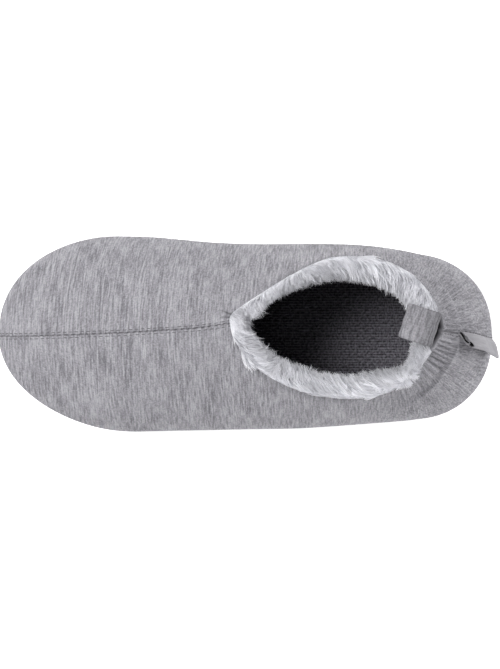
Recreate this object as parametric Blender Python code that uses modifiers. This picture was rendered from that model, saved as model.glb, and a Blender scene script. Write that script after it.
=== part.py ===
"""Low slipper boot for a left foot: jersey upper, fur collar, pull loop, heel tag, insole and rubber sole.

Run with: blender --background --python part.py
Units are metres. +X points to the toe, +Y to the outer side of the foot, +Z up, and the floor is z = 0.
"""

import math

import bmesh
import bpy
import numpy as np

# Size of the whole shoe
LENGTH = 0.264
HEEL_BACK_X = -0.1304
MEETING_GAP = 0.0003

# Outline from above. The ends are superellipses, each with a reach along the shoe and a fullness.
HEEL_REACH = 0.035
HEEL_FULLNESS = 2.2
INNER_TOE_REACH = 0.065
INNER_TOE_FULLNESS = 2.15
OUTER_TOE_REACH = 0.075
OUTER_TOE_FULLNESS = 1.95
# station: distance from the back of the heel. inner, outer: half widths of the two sides.
WIDTH_COLUMNS = ("station", "inner", "outer")
WIDTHS = (
    (0.000, 0.0385, 0.0410),
    (0.049, 0.0445, 0.0465),
    (0.081, 0.0480, 0.0492),
    (0.114, 0.0484, 0.0506),
    (0.146, 0.0492, 0.0513),
    (0.189, 0.0524, 0.0524),
    (0.264, 0.0526, 0.0524),
)

# Sole. station as above, ground: height of the underside, top: height of the upper face.
SOLE_COLUMNS = ("station", "ground", "top")
SOLE_HEIGHTS = (
    (0.000, 0.0018, 0.0138),
    (0.012, 0.0000, 0.0132),
    (0.070, 0.0000, 0.0120),
    (0.112, 0.0022, 0.0110),
    (0.150, 0.0000, 0.0100),
    (0.205, 0.0000, 0.0098),
    (0.236, 0.0026, 0.0120),
    (0.264, 0.0080, 0.0165),
)
SOLE_INSET = 0.0040
SOLE_FOOT_INSET = 0.0022
SOLE_RIB_DEPTH = 0.0007
SOLE_EDGE_ROUND = 0.0012
TREAD_DEPTH = 0.0014
TREAD_WIDTH = 0.0030
TREAD_PITCH = 0.0100
TREAD_LENGTH_SHARE = 0.74
# first: station of the first groove. count: grooves at TREAD_PITCH from there.
TREAD_COLUMNS = ("first", "count")
TREADS = ((0.022, 5), (0.156, 6))

# Insole
INSOLE_THICKNESS = 0.0050
INSOLE_CLEARANCE = 0.0010
INSOLE_EDGE_ROUND = 0.0014

# Collar line, an egg seen from above, drawn to a point at the throat
COLLAR_CENTRE_X = -0.0456
COLLAR_CENTRE_Y = -0.0036
COLLAR_HALF_LENGTH = 0.0537
COLLAR_HALF_WIDTH = 0.0365
COLLAR_TAPER = 0.12
THROAT_POINT = 0.0015
THROAT_POINT_SPREAD = 0.30
THROAT_LEAN = -0.0045
THROAT_LEAN_SPREAD = 0.45
# How far the back of the collar is drawn forward, on the inner and on the outer side
INNER_BACK_DRAW = 0.0010
OUTER_BACK_DRAW = 0.0032
# How far the inner side of the collar is drawn in beside the throat, along x and y, and over which turn
INNER_THROAT_DRAW = (-0.0026, 0.0037)
INNER_THROAT_TURN = 1.5

# Upper. Each row is one fold line from the sole up to the collar, the same on both sides.
# around, collar: share of the way from toe to heel, along the outline and along the collar.
# widest: height of the widest point. rise: how far the wall goes on straight up from there.
# rim: height of the collar. slope: angle of the cloth at the collar, degrees. pull: how far that slope reaches down.
UPPER_COLUMNS = ("around", "collar", "widest", "rise", "rim", "slope", "pull")
UPPER_LINES = (
    (0.00, 0.000, 0.0300, 0.0250, 0.0940, 21.0, 0.058),
    (0.14, 0.030, 0.0285, 0.0260, 0.0938, 22.0, 0.052),
    (0.29, 0.085, 0.0265, 0.0280, 0.0930, 27.0, 0.042),
    (0.45, 0.200, 0.0275, 0.0310, 0.0905, 48.0, 0.026),
    (0.62, 0.460, 0.0290, 0.0300, 0.0880, 72.0, 0.022),
    (0.80, 0.740, 0.0300, 0.0270, 0.0920, 74.0, 0.022),
    (1.00, 1.000, 0.0300, 0.0240, 0.1000, 70.0, 0.028),
)
UPPER_WALL = 0.0026
UPPER_SIDE_COLUMNS = 32
UPPER_LOWER_ROWS = 4
UPPER_ROWS = 14
RIM_ROW_CROWDING = 1.3
TUCK_ROUNDNESS = 0.65

# Elastic band round the back of the collar, drawn in along its lower seam
BAND_HEIGHT = 0.024
BAND_START = 0.66
BAND_FADE = 0.16
BAND_PINCH = 0.0022
BAND_PINCH_SPREAD = 0.0050
HEEL_PUFF = 0.0016
HEEL_PUFF_BELOW = 0.012
HEEL_PUFF_SPREAD = 0.0085

# Fur collar. depth: how far it reaches down inside. The inner edge is a smaller egg.
FUR_INNER_CENTRE_X = -0.0438
FUR_INNER_HALF_LENGTH = 0.0420
FUR_INNER_HALF_WIDTH = 0.0255
FUR_DEPTH = 0.022
FUR_OVER_RIM = 0.0006
FUR_CLEARANCE = 0.0010
FUR_COLLAR_COLUMNS = 60
FUR_OUTER_SHARES = (1.0, 0.6, 0.25, 0.0)
FUR_CREST = 0.0040
# inward: share of the way from the cloth to the inner edge. lift: height over the rim.
FUR_COLUMNS = ("inward", "lift")
FUR_SECTION = (
    (0.30, 0.0040),
    (0.58, 0.0036),
    (0.82, 0.0008),
    (0.95, -0.0055),
    (0.92, -0.0130),
    (0.70, -0.0200),
)
# Locks of fur standing out of the collar, one row of locks to a line.
# count: locks round the collar. inward, lift: root as above. reach, droop: how far a lock goes in and down.
# width, thick: size of a lock at its root.
LOCK_COLUMNS = ("count", "inward", "lift", "reach", "droop", "width", "thick")
LOCKS = (
    (26, 0.58, 0.0012, 0.0068, 0.0024, 0.0104, 0.0044),
    (22, 0.80, -0.0056, 0.0058, 0.0072, 0.0104, 0.0050),
)
LOCK_SIDES = 4
LOCK_RINGS = 3
LOCK_SWEEP = 0.0030
LOCK_TIP_SHARE = 0.86

# Pull loop, a band of doubled jersey standing on the back of the collar
LOOP_WIDTH = 0.0180
LOOP_REACH = 0.0181
LOOP_HEIGHT = 0.0125
LOOP_THICKNESS = 0.0022
LOOP_STEM = 0.0034
LOOP_BACK_X = -0.0958
LOOP_CENTRE_Y = -0.0020
LOOP_FOOT_Z = 0.1046
LOOP_YAW = math.radians(-18.0)
LOOP_ARC_POINTS = 7
LOOP_EDGE_ROUND = 0.0005
LOOP_CLEARANCE = 0.0005

# Heel tag, a folded strip caught in the back seam, lying over to the outer side
TAG_TOP_DROP = 0.0235
TAG_LENGTH = 0.0370
# The seam slants to the outer side: how far at the tag's top and at its lower end
TAG_SEAM_SLANT = (0.0018, 0.0032)
TAG_REACH = 0.0105
TAG_LAYER = 0.0009
TAG_FOLD_GAP = 0.0012
# Turn of the strip away from straight out of the seam, in degrees: at the seam, halfway out and at the fold
TAG_TOP_TURN = (8.0, 62.0, 34.0)
TAG_END_TURN = (44.0, 82.0, 90.0)
TAG_DROOP = 0.0040
TAG_STANDOFF = 0.0006
TAG_STATIONS = 7
TAG_FOLD_POINTS = 5
TAG_SIDE_POINTS = 5

# Colours are linear. Each row: red, green, blue, roughness.
JERSEY_GREY = (0.352, 0.347, 0.371, 0.92)
FUR_WHITE = (0.620, 0.620, 0.650, 0.90)
INSOLE_CHARCOAL = (0.032, 0.030, 0.036, 0.95)
SOLE_RUBBER = (0.045, 0.045, 0.050, 0.65)
TAG_GREY = (0.372, 0.362, 0.392, 0.85)


def column(table, names, name):
    """One named column of a table, as an array."""
    return np.array([row[names.index(name)] for row in table], float)


def smooth(at, places, values, level_ends=True):
    """A curve through the values with no overshoot between them (monotone cubic). Its ends run level,
    or keep the slope of the first and the last span."""
    at = np.clip(np.asarray(at, float), places[0], places[-1])
    steps = np.diff(places)
    slopes = np.diff(values) / steps
    tangents = np.zeros(len(places))
    if not level_ends:
        tangents[0], tangents[-1] = slopes[0], slopes[-1]
    for i in range(1, len(places) - 1):
        before, after = slopes[i - 1], slopes[i]
        if before * after > 0:
            tangents[i] = 2 * before * after / (before + after)
    span = np.clip(np.searchsorted(places, at, side="right") - 1, 0, len(steps) - 1)
    width = steps[span]
    t = (at - places[span]) / width
    start = (1 + 2 * t) * (1 - t) ** 2 * values[span] + t * (1 - t) ** 2 * width * tangents[span]
    end = t * t * (3 - 2 * t) * values[span + 1] + t * t * (t - 1) * width * tangents[span + 1]
    return start + end


def of_widths(station, side):
    return smooth(station, column(WIDTHS, WIDTH_COLUMNS, "station"), column(WIDTHS, WIDTH_COLUMNS, side))


def of_sole(station, face):
    return smooth(
        station, column(SOLE_HEIGHTS, SOLE_COLUMNS, "station"), column(SOLE_HEIGHTS, SOLE_COLUMNS, face)
    )


def of_lines(around, name):
    places = column(UPPER_LINES, UPPER_COLUMNS, "around")
    return smooth(around, places, column(UPPER_LINES, UPPER_COLUMNS, name), level_ends=name != "collar")


def half_width(station, outer_side):
    """Half width of the outline at a distance from the back of the heel."""
    reach = OUTER_TOE_REACH if outer_side else INNER_TOE_REACH
    fullness = OUTER_TOE_FULLNESS if outer_side else INNER_TOE_FULLNESS
    into_toe = np.clip((station - (LENGTH - reach)) / reach, 0, 1)
    into_heel = np.clip((HEEL_REACH - station) / HEEL_REACH, 0, 1)
    toe = (1 - into_toe**fullness) ** (1 / fullness)
    heel = (1 - into_heel**HEEL_FULLNESS) ** (1 / HEEL_FULLNESS)
    return of_widths(station, "outer" if outer_side else "inner") * toe * heel


def outline(around, inset=0.0):
    """Points of the outline, drawn in by inset. around runs from 0 at the toe to 1 at the heel,
    negative on the inner side and positive on the outer side."""
    around = np.asarray(around, float)
    fine = np.linspace(0, 1, 400)
    station = LENGTH * (0.5 + 0.5 * np.cos(math.pi * fine))
    points = np.zeros((len(around), 2))
    for outer_side in (False, True):
        sign = 1 if outer_side else -1
        side = np.stack([station + HEEL_BACK_X, sign * half_width(station, outer_side)], axis=1)
        along = np.concatenate([[0], np.cumsum(np.linalg.norm(np.diff(side, axis=0), axis=1))])
        tangent = np.gradient(side, along, axis=0)
        normal = sign * np.stack([tangent[:, 1], -tangent[:, 0]], axis=1)
        normal[0], normal[-1] = (1, 0), (-1, 0)
        side = side - inset * normal
        chosen = (around > 0) == outer_side
        share = np.abs(around[chosen])
        for axis in range(2):
            points[chosen, axis] = np.interp(share, along / along[-1], side[:, axis])
    return points


def station_of(points):
    return points[:, 0] - HEEL_BACK_X


def collar(around, centre_x=COLLAR_CENTRE_X, half_length=COLLAR_HALF_LENGTH, half_width_=COLLAR_HALF_WIDTH):
    """Points of the collar line from above, or of a smaller line inside it."""
    share = of_lines(np.abs(around), "collar")
    turn = math.pi * share
    point = THROAT_POINT * np.exp(-((turn / THROAT_POINT_SPREAD) ** 2))
    lean = THROAT_LEAN * np.exp(-((turn / THROAT_LEAN_SPREAD) ** 2))
    width = half_width_ * np.sin(turn) * (1 - COLLAR_TAPER * np.cos(turn))
    x = centre_x + half_length * np.cos(turn) + point
    y = COLLAR_CENTRE_Y + lean + np.sign(around) * width
    return np.stack([x, y], axis=1)


def inner_throat_draw(around):
    """How far the inner side is drawn in beside the throat at each place."""
    turn = math.pi * of_lines(np.abs(around), "collar")
    window = np.sin(math.pi * np.clip(turn / INNER_THROAT_TURN, 0, 1))
    return np.where(np.asarray(around) < 0, window, 0.0)[:, None] * np.array(INNER_THROAT_DRAW)


def rim_line(around):
    """The collar line with its back drawn forward and its inner side drawn in beside the throat."""
    line = collar(around) + inner_throat_draw(around)
    turn = math.pi * of_lines(np.abs(around), "collar")
    draw = np.where(np.asarray(around) > 0, OUTER_BACK_DRAW, INNER_BACK_DRAW)
    line[:, 0] += draw * np.sin(3 * np.clip(math.pi - turn, 0, math.pi / 3))
    return line


def bezier(ends, t):
    """Points of the cubic curves given by four arrays of control points, at each t."""
    a, b, c, d = (point[:, None, :] for point in ends)
    t = np.broadcast_to(t, (len(ends[0]), t.shape[-1]))[:, :, None]
    return (1 - t) ** 3 * a + 3 * (1 - t) ** 2 * t * b + 3 * (1 - t) * t * t * c + t**3 * d


def with_height(points, height):
    return np.concatenate([points, np.broadcast_to(height, len(points))[:, None]], axis=1)


def upper_lines(around):
    """Control points of each fold line: the tuck under the foot, then the wall up to the collar."""
    around = np.asarray(around, float)
    way = np.abs(around)
    widest = outline(around)
    sole_edge = outline(around, SOLE_INSET)
    rim = rim_line(around)
    foot = with_height(sole_edge, of_sole(station_of(widest), "top") + MEETING_GAP)
    side = with_height(widest, of_lines(way, "widest"))
    top = with_height(rim, of_lines(way, "rim"))
    up = np.array([0, 0, 1.0])
    outward = with_height(widest - sole_edge, 0.0)
    tuck = (
        foot,
        foot + TUCK_ROUNDNESS * outward,
        side - TUCK_ROUNDNESS * up * (side - foot)[:, 2:],
        side,
    )
    inward = rim - widest
    inward = inward / np.linalg.norm(inward, axis=1, keepdims=True)
    slope = np.radians(of_lines(way, "slope"))
    lean = np.concatenate([inward * np.cos(slope)[:, None], np.sin(slope)[:, None]], axis=1)
    wall = (
        side,
        side + up * of_lines(way, "rise")[:, None],
        top - lean * of_lines(way, "pull")[:, None],
        top,
    )
    return tuck, wall


def normals_of(grid):
    """Outward normals of a grid of points that closes on itself around the shoe."""
    around = np.roll(grid, -1, axis=0) - np.roll(grid, 1, axis=0)
    up = np.gradient(grid, axis=1)
    normal = np.cross(around, up)
    return normal / np.linalg.norm(normal, axis=2, keepdims=True)


def below_rim(grid):
    """Distance of each point of a grid from the collar, along its fold line."""
    steps = np.linalg.norm(np.diff(grid, axis=1), axis=2)
    total = np.cumsum(steps[:, ::-1], axis=1)[:, ::-1]
    return np.concatenate([total, np.zeros((len(grid), 1))], axis=1)


def bump(distance, spread):
    return np.exp(-((distance / spread) ** 2))


def band_relief(around, depth):
    """How far the elastic band and the heel below it move the cloth in or out."""
    way = np.abs(around)[:, None]
    back = np.clip((way - BAND_START) / BAND_FADE, 0, 1)
    back = back * back * (3 - 2 * back)
    pinch = -BAND_PINCH * bump(depth - BAND_HEIGHT, BAND_PINCH_SPREAD)
    puff = HEEL_PUFF * bump(depth - BAND_HEIGHT - HEEL_PUFF_BELOW, HEEL_PUFF_SPREAD)
    return back * (pinch + puff)


def wall_grid(around, t):
    """Outer face of the upper from its widest line (t = 0) to the collar (t = 1), and its normals."""
    grid = bezier(upper_lines(around)[1], np.asarray(t, float))
    relief = band_relief(around, below_rim(grid))
    grid = grid + relief[:, :, None] * normals_of(grid)
    return grid, normals_of(grid)


def columns_around(count_per_side):
    """Evenly spaced places round the shoe, from the heel along the inner side to the toe and back."""
    return np.linspace(-1, 1, 2 * count_per_side, endpoint=False)


def loft(name, grid, material, closed_along=False):
    """An object whose faces join the rows of a grid[around, along]. It closes on itself around the shoe."""
    rounds, rows = grid.shape[:2]
    mesh = bmesh.new()
    points = [[mesh.verts.new(grid[i, j]) for j in range(rows)] for i in range(rounds)]
    for i in range(rounds):
        following = points[(i + 1) % rounds]
        for j in range(rows if closed_along else rows - 1):
            k = (j + 1) % rows
            mesh.faces.new((points[i][j], following[j], following[k], points[i][k]))
    return finished(name, mesh, material)


def ladder_loft(name, grid, material):
    """As loft, with the first and last row closed by rungs from the inner side to the outer side."""
    rounds, rows = grid.shape[:2]
    half = rounds // 2
    mesh = bmesh.new()
    points = [[mesh.verts.new(grid[i, j]) for j in range(rows)] for i in range(rounds)]
    for i in range(rounds):
        following = points[(i + 1) % rounds]
        for j in range(rows - 1):
            mesh.faces.new((points[i][j], following[j], following[j + 1], points[i][j + 1]))
    for row in (0, rows - 1):
        for i in range(half):
            inner = (points[i][row], points[i + 1][row])
            outer = (points[(rounds - i - 1) % rounds][row], points[(rounds - i) % rounds][row])
            corners = list(dict.fromkeys((*inner, *outer)))
            mesh.faces.new(corners)
    return finished(name, mesh, material)


def finished(name, mesh, material):
    """A named object from a bmesh, with its faces turned outwards and shaded smooth."""
    bmesh.ops.recalc_face_normals(mesh, faces=mesh.faces)
    data = bpy.data.meshes.new(name)
    mesh.to_mesh(data)
    mesh.free()
    data.shade_smooth()
    data.set_sharp_from_angle(angle=math.radians(40))
    made = bpy.data.objects.new(name, data)
    if material is not None:
        data.materials.append(material)
    return made


def principled(name, colour):
    material = bpy.data.materials.new(name)
    material.use_nodes = True
    shader = material.node_tree.nodes["Principled BSDF"]
    shader.inputs["Base Color"].default_value = (*colour[:3], 1.0)
    shader.inputs["Roughness"].default_value = colour[3]
    shader.inputs["Metallic"].default_value = 0.0
    return material


def boolean(target, other, operation, overlapping=False):
    """Cut other out of target or fuse it on. overlapping: other is made of pieces that cross each other."""
    modifier = target.modifiers.new(operation.lower() + "_" + other.name, "BOOLEAN")
    modifier.object = other
    modifier.operation = operation
    modifier.solver = "EXACT"
    modifier.use_self = overlapping
    other.hide_render = True
    other.display_type = "WIRE"


def make_upper(material):
    """Jersey upper: one wall from the sole edge up to the collar, open at the collar and underneath."""
    around = columns_around(UPPER_SIDE_COLUMNS)
    tuck = bezier(upper_lines(around)[0], np.linspace(0, 1, UPPER_LOWER_ROWS + 1))
    rows = 1 - (1 - np.linspace(0, 1, UPPER_ROWS + 1)) ** RIM_ROW_CROWDING
    wall, _ = wall_grid(around, rows)
    upper = loft("upper", np.concatenate([tuck[:, :-1], wall], axis=1), material)
    shell = upper.modifiers.new("wall", "SOLIDIFY")
    shell.thickness = UPPER_WALL
    shell.offset = -1.0
    shell.use_even_offset = True
    return upper


def sole_ring(around, inset, height):
    ring = outline(around, inset)
    return with_height(ring, height)


def make_sole(material):
    """Rubber sole: flat under heel and ball, with arch, toe spring, a ribbed side and grooves across."""
    around = columns_around(UPPER_SIDE_COLUMNS)
    station = station_of(outline(around))
    ground, top = of_sole(station, "ground"), of_sole(station, "top")
    edge = SOLE_INSET - 0.001
    rows = (
        (SOLE_FOOT_INSET + SOLE_EDGE_ROUND, 0.0),
        (SOLE_FOOT_INSET, 0.10),
        (SOLE_FOOT_INSET * 0.6, 0.34),
        (SOLE_FOOT_INSET * 0.6 + SOLE_RIB_DEPTH, 0.40),
        (SOLE_FOOT_INSET * 0.3 + SOLE_RIB_DEPTH, 0.58),
        (SOLE_FOOT_INSET * 0.3, 0.64),
        (0.0, 0.90),
        (SOLE_EDGE_ROUND * 0.6, 1.0),
    )
    grid = np.stack(
        [sole_ring(around, edge + inset, ground + share * (top - ground)) for inset, share in rows], axis=1
    )
    return ladder_loft("outsole", grid, material)


def tread_cutters():
    """Bars that cut the grooves across the underside of heel and forefoot."""
    bars = []
    for first, count in TREADS:
        for i in range(count):
            station = np.array([first + i * TREAD_PITCH])
            inner, outer = half_width(station, False)[0], half_width(station, True)[0]
            bpy.ops.mesh.primitive_cube_add(size=1.0)
            bar = bpy.context.object
            bar.name = f"tread_cutter_{len(bars)}"
            across = TREAD_LENGTH_SHARE * (inner + outer)
            size = (TREAD_WIDTH, across, 2 * TREAD_DEPTH)
            centre = (station[0] + HEEL_BACK_X, (outer - inner) / 2, 0.0)
            for vertex in bar.data.vertices:
                vertex.co = [vertex.co[axis] * size[axis] for axis in range(3)]
            bar.location = centre
            bars.append(bar)
    return bars


def make_insole(material):
    """Footbed lying on the sole, inside the foot of the upper."""
    around = columns_around(UPPER_SIDE_COLUMNS)
    station = station_of(outline(around))
    base = of_sole(station, "top") + MEETING_GAP
    inset = SOLE_INSET + UPPER_WALL + INSOLE_CLEARANCE
    rows = (
        (INSOLE_EDGE_ROUND * 0.5, 0.0),
        (0.0, 0.2 * INSOLE_THICKNESS),
        (0.0, INSOLE_THICKNESS - INSOLE_EDGE_ROUND),
        (INSOLE_EDGE_ROUND * 0.4, INSOLE_THICKNESS - 0.3 * INSOLE_EDGE_ROUND),
        (INSOLE_EDGE_ROUND * 1.4, INSOLE_THICKNESS),
    )
    grid = np.stack([sole_ring(around, inset + extra, base + lift) for extra, lift in rows], axis=1)
    return ladder_loft("insole", grid, material)


def collar_places(count, shift=0.0):
    """Places round the shoe that are evenly spaced along the collar."""
    turns = (np.arange(count) + shift) * 2 / count - 1
    fine = np.linspace(0, 1, 2000)
    around = np.interp(np.abs(turns), of_lines(fine, "collar"), fine)
    return np.where(turns < 0, -around, around)


def at_depth(depth, values, down):
    """Values along each fold line at one distance below the collar."""
    rows = []
    for line_depth, line_values in zip(depth, values):
        rows.append([np.interp(down, line_depth[::-1], line_values[::-1, axis]) for axis in range(3)])
    return np.array(rows)


def fur_section(around):
    """Cross-sections of the fur ring: up the inside of the cloth, over the rim and down the inner edge."""
    wall, normal = wall_grid(around, np.linspace(0, 1, 120))
    depth = below_rim(wall)
    rim, rim_normal = wall[:, -1], normal[:, -1]
    inner = with_height(
        collar(around, FUR_INNER_CENTRE_X, FUR_INNER_HALF_LENGTH, FUR_INNER_HALF_WIDTH), rim[:, 2]
    )
    clear = UPPER_WALL + FUR_CLEARANCE
    up = np.array([0, 0, 1.0])
    section = []
    for share in FUR_OUTER_SHARES:
        down = share * FUR_DEPTH + MEETING_GAP
        section.append(at_depth(depth, wall, down) - clear * at_depth(depth, normal, down))
    section.append(rim - clear * rim_normal + 2 * MEETING_GAP * up)
    section.append(rim + FUR_OVER_RIM * rim_normal + 3 * MEETING_GAP * up)
    section.append(rim + 0.5 * FUR_OVER_RIM * rim_normal + (FUR_CREST * 0.7) * up)
    for inward, lift in FUR_SECTION:
        section.append(rim + inward * (inner - rim) + lift * up)
    return np.stack(section, axis=1), rim, inner


def lock_sections(root, along, across, thick, tip):
    """Rings of one lock of fur, tapering from its root to its tip."""
    turns = np.linspace(0, 2 * math.pi, LOCK_SIDES, endpoint=False)
    rings = []
    for step in range(LOCK_RINGS):
        share = LOCK_TIP_SHARE * step / (LOCK_RINGS - 1)
        middle = root + share * along + share * share * tip
        taper = math.sqrt(1 - share * share)
        rings.append([middle + taper * (math.cos(a) * across + math.sin(a) * thick) for a in turns])
    return rings, root + along + tip


def make_locks():
    """All the locks as one mesh of closed pieces, each rooted inside the fur ring."""
    mesh = bmesh.new()
    up = np.array([0, 0, 1.0])
    for row, (count, inward, lift, reach, droop, width, thick) in enumerate(LOCKS, 1):
        _, rim, inner = fur_section(collar_places(count, 0.25 + 0.5 * (row % 2)))
        for i in range(count):
            toward = (inner[i] - rim[i]) * np.array([1, 1, 0])
            toward = toward / np.linalg.norm(toward)
            side = np.cross(up, toward)
            swing = LOCK_SWEEP * math.sin(2.4 * i + row)
            stretch = 1 + 0.25 * math.sin(1.7 * i + 2 * row)
            root = rim[i] + inward * (inner[i] - rim[i]) + lift * up
            along = stretch * reach * toward + swing * side
            tip = -stretch * droop * up
            rings, point = lock_sections(root, along, 0.5 * width * side, 0.5 * thick * up, tip)
            loops = [[mesh.verts.new(p) for p in ring] for ring in rings]
            mesh.faces.new(loops[0])
            for low, high in zip(loops, loops[1:]):
                for k in range(LOCK_SIDES):
                    n = (k + 1) % LOCK_SIDES
                    mesh.faces.new((low[k], low[n], high[n], high[k]))
            end = mesh.verts.new(point)
            for k in range(LOCK_SIDES):
                mesh.faces.new((loops[-1][k], loops[-1][(k + 1) % LOCK_SIDES], end))
    return finished("fur_locks", mesh, None)


def make_fur(material):
    """Fur ring round the inside of the collar."""
    section, _, _ = fur_section(collar_places(FUR_COLLAR_COLUMNS, 0.5))
    return loft("fur_collar", section, material, closed_along=True)


def arc(centre, radius, start, end):
    turns = np.radians(np.linspace(start, end, LOOP_ARC_POINTS))
    return [(centre[0] + radius * math.cos(a), centre[1] + radius * math.sin(a)) for a in turns]


def loop_line(grow, stem):
    """Closed line of the pull loop in its own plane: a round nose inwards, a narrower heel at the back.
    With stem, the line also goes down round the two sewn ends."""
    nose = LOOP_HEIGHT / 2
    heel = 0.6 * nose
    points = arc((LOOP_REACH - nose, nose), nose + grow, -90, 90)
    points += arc((heel, LOOP_HEIGHT - heel), heel + grow, 90, 180)
    if stem:
        points += [(-grow, -LOOP_STEM - grow), (2 * LOOP_THICKNESS + grow, -LOOP_STEM - grow)]
        points += [(2 * LOOP_THICKNESS + grow, -grow)]
    else:
        points += arc((heel, heel), heel + grow, 180, 270)
    return points


def make_pull_loop(material):
    """Band of jersey bent into a loop, standing on the back of the collar."""
    outline_curve = bpy.data.curves.new("pull_loop", "CURVE")
    outline_curve.dimensions = "2D"
    outline_curve.fill_mode = "BOTH"
    outline_curve.extrude = LOOP_WIDTH / 2 - LOOP_EDGE_ROUND
    outline_curve.bevel_depth = LOOP_EDGE_ROUND
    outline_curve.bevel_resolution = 1
    outline_curve.materials.append(material)
    for grow, stem in ((-LOOP_EDGE_ROUND, True), (LOOP_EDGE_ROUND - LOOP_THICKNESS, False)):
        spline = outline_curve.splines.new("POLY")
        line = loop_line(grow, stem)
        spline.points.add(len(line) - 1)
        for point, (x, z) in zip(spline.points, line):
            point.co = (x, z, 0.0, 1.0)
        spline.use_cyclic_u = True
    loop = bpy.data.objects.new("pull_loop", outline_curve)
    loop.rotation_euler = (math.radians(90), 0.0, LOOP_YAW)
    loop.location = (LOOP_BACK_X, LOOP_CENTRE_Y, LOOP_FOOT_Z)
    return loop


def loop_cutters():
    """Blocks that press the fur down under the pull loop and round its sewn ends."""
    blocks = []
    for name, low, reach in (("bed", 0.0, LOOP_REACH), ("ends", -LOOP_STEM, 2 * LOOP_THICKNESS)):
        size = (
            reach + 2 * LOOP_CLEARANCE,
            LOOP_WIDTH + 2 * LOOP_CLEARANCE,
            LOOP_HEIGHT,
        )
        centre = (reach / 2, 0.0, low - LOOP_CLEARANCE + LOOP_HEIGHT / 2)
        bpy.ops.mesh.primitive_cube_add(size=1.0)
        block = bpy.context.object
        block.name = "loop_cutter_" + name
        for vertex in block.data.vertices:
            vertex.co = [vertex.co[axis] * size[axis] + centre[axis] for axis in range(3)]
        block.rotation_euler = (0.0, 0.0, LOOP_YAW)
        block.location = (LOOP_BACK_X, LOOP_CENTRE_Y, LOOP_FOOT_Z)
        blocks.append(block)
    return blocks


def tag_fold(share):
    """Outline of the folded strip in its own plane: x out from the seam, y across the two layers."""
    half_gap = TAG_FOLD_GAP / 2 * (1 - 0.5 * share)
    half = half_gap + TAG_LAYER
    straight = TAG_REACH - half
    outer = [(x, half) for x in np.linspace(0, straight, TAG_SIDE_POINTS, endpoint=False)]
    turn = np.radians(np.linspace(90, -90, TAG_FOLD_POINTS))
    outer += [(straight + half * math.cos(a), half * math.sin(a)) for a in turn]
    outer += [(x, -half) for x in np.linspace(straight, 0, TAG_SIDE_POINTS + 1)[1:]]
    inner = [(x, -half_gap) for x in np.linspace(0, straight, TAG_SIDE_POINTS, endpoint=False)]
    inner += [(straight + half_gap * math.cos(a), half_gap * math.sin(a)) for a in turn[::-1]]
    inner += [(x, half_gap) for x in np.linspace(straight, 0, TAG_SIDE_POINTS + 1)[1:]]
    return outer + inner


def tag_path(share):
    """Middle line of the strip in the plane across the seam, and its turn, at fine steps out from the seam."""
    steps = np.linspace(0, TAG_REACH, 40)
    turn = np.array(TAG_TOP_TURN) * (1 - share) + np.array(TAG_END_TURN) * share
    turn = np.radians(smooth(steps / TAG_REACH, np.array([0, 0.5, 1.0]), turn))
    along = np.stack([np.cos(turn), np.sin(turn)], axis=1) * (steps[1] - steps[0])
    line = np.concatenate([np.zeros((1, 2)), np.cumsum((along[1:] + along[:-1]) / 2, axis=0)])
    return steps, line, turn


def make_heel_tag(material):
    """Folded strip standing out of the back seam and leaning over to the outer side."""
    around = np.array([-0.999, 0.999])
    fine = np.linspace(0, 1, 200)
    line = bezier(upper_lines(around)[1], fine)
    grid, _ = wall_grid(columns_around(UPPER_SIDE_COLUMNS), fine)
    back = grid[0]
    depth = below_rim(line)[0]
    mesh = bmesh.new()
    rings = []
    for share in np.linspace(0, 1, TAG_STATIONS):
        i = np.abs(depth - (TAG_TOP_DROP + share * TAG_LENGTH)).argmin()
        down = back[max(i - 1, 0)] - back[min(i + 1, len(back) - 1)]
        down = down / np.linalg.norm(down)
        side = np.array([0, 1.0, 0])
        out = np.cross(down, side)
        out = out if out[0] < 0 else -out
        steps, line_out, turn = tag_path(share)
        half = TAG_LAYER + TAG_FOLD_GAP / 2
        slant = np.interp(share, (0, 1), TAG_SEAM_SLANT)
        root = back[i] + (TAG_STANDOFF + half * math.sin(turn[0])) * out + slant * side
        ring = []
        for x, y in tag_fold(share):
            far = (x / TAG_REACH) ** 2
            a = np.interp(x, steps, turn)
            over = np.interp(x, steps, line_out[:, 0]) - y * math.sin(a)
            beside = np.interp(x, steps, line_out[:, 1]) + y * math.cos(a)
            ring.append(mesh.verts.new(root + over * out + beside * side + far * TAG_DROOP * down))
        rings.append(ring)
    for low, high in zip(rings, rings[1:]):
        for k in range(len(low)):
            n = (k + 1) % len(low)
            mesh.faces.new((low[k], low[n], high[n], high[k]))
    mesh.faces.new(rings[0])
    mesh.faces.new(rings[-1])
    return finished("heel_tag", mesh, material)


def main():
    for old in list(bpy.data.objects):
        bpy.data.objects.remove(old)
    boot = bpy.data.collections.new("slipper_boot")
    cutters = bpy.data.collections.new("cutters")
    for collection in (boot, cutters):
        bpy.context.scene.collection.children.link(collection)

    jersey = principled("jersey", JERSEY_GREY)
    rubber = principled("rubber", SOLE_RUBBER)
    outsole = make_sole(rubber)
    fur = make_fur(principled("fur", FUR_WHITE))
    pieces = (
        outsole,
        make_insole(principled("footbed", INSOLE_CHARCOAL)),
        make_upper(jersey),
        fur,
        make_pull_loop(jersey),
        make_heel_tag(principled("tag", TAG_GREY)),
    )
    for piece in pieces:
        boot.objects.link(piece)

    locks = make_locks()
    cutters.objects.link(locks)
    boolean(fur, locks, "UNION", overlapping=True)
    for target, cutter in [(fur, block) for block in loop_cutters()] + [(outsole, bar) for bar in tread_cutters()]:
        for collection in cutter.users_collection:
            collection.objects.unlink(cutter)
        cutters.objects.link(cutter)
        boolean(target, cutter, "DIFFERENCE")


main()
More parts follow.
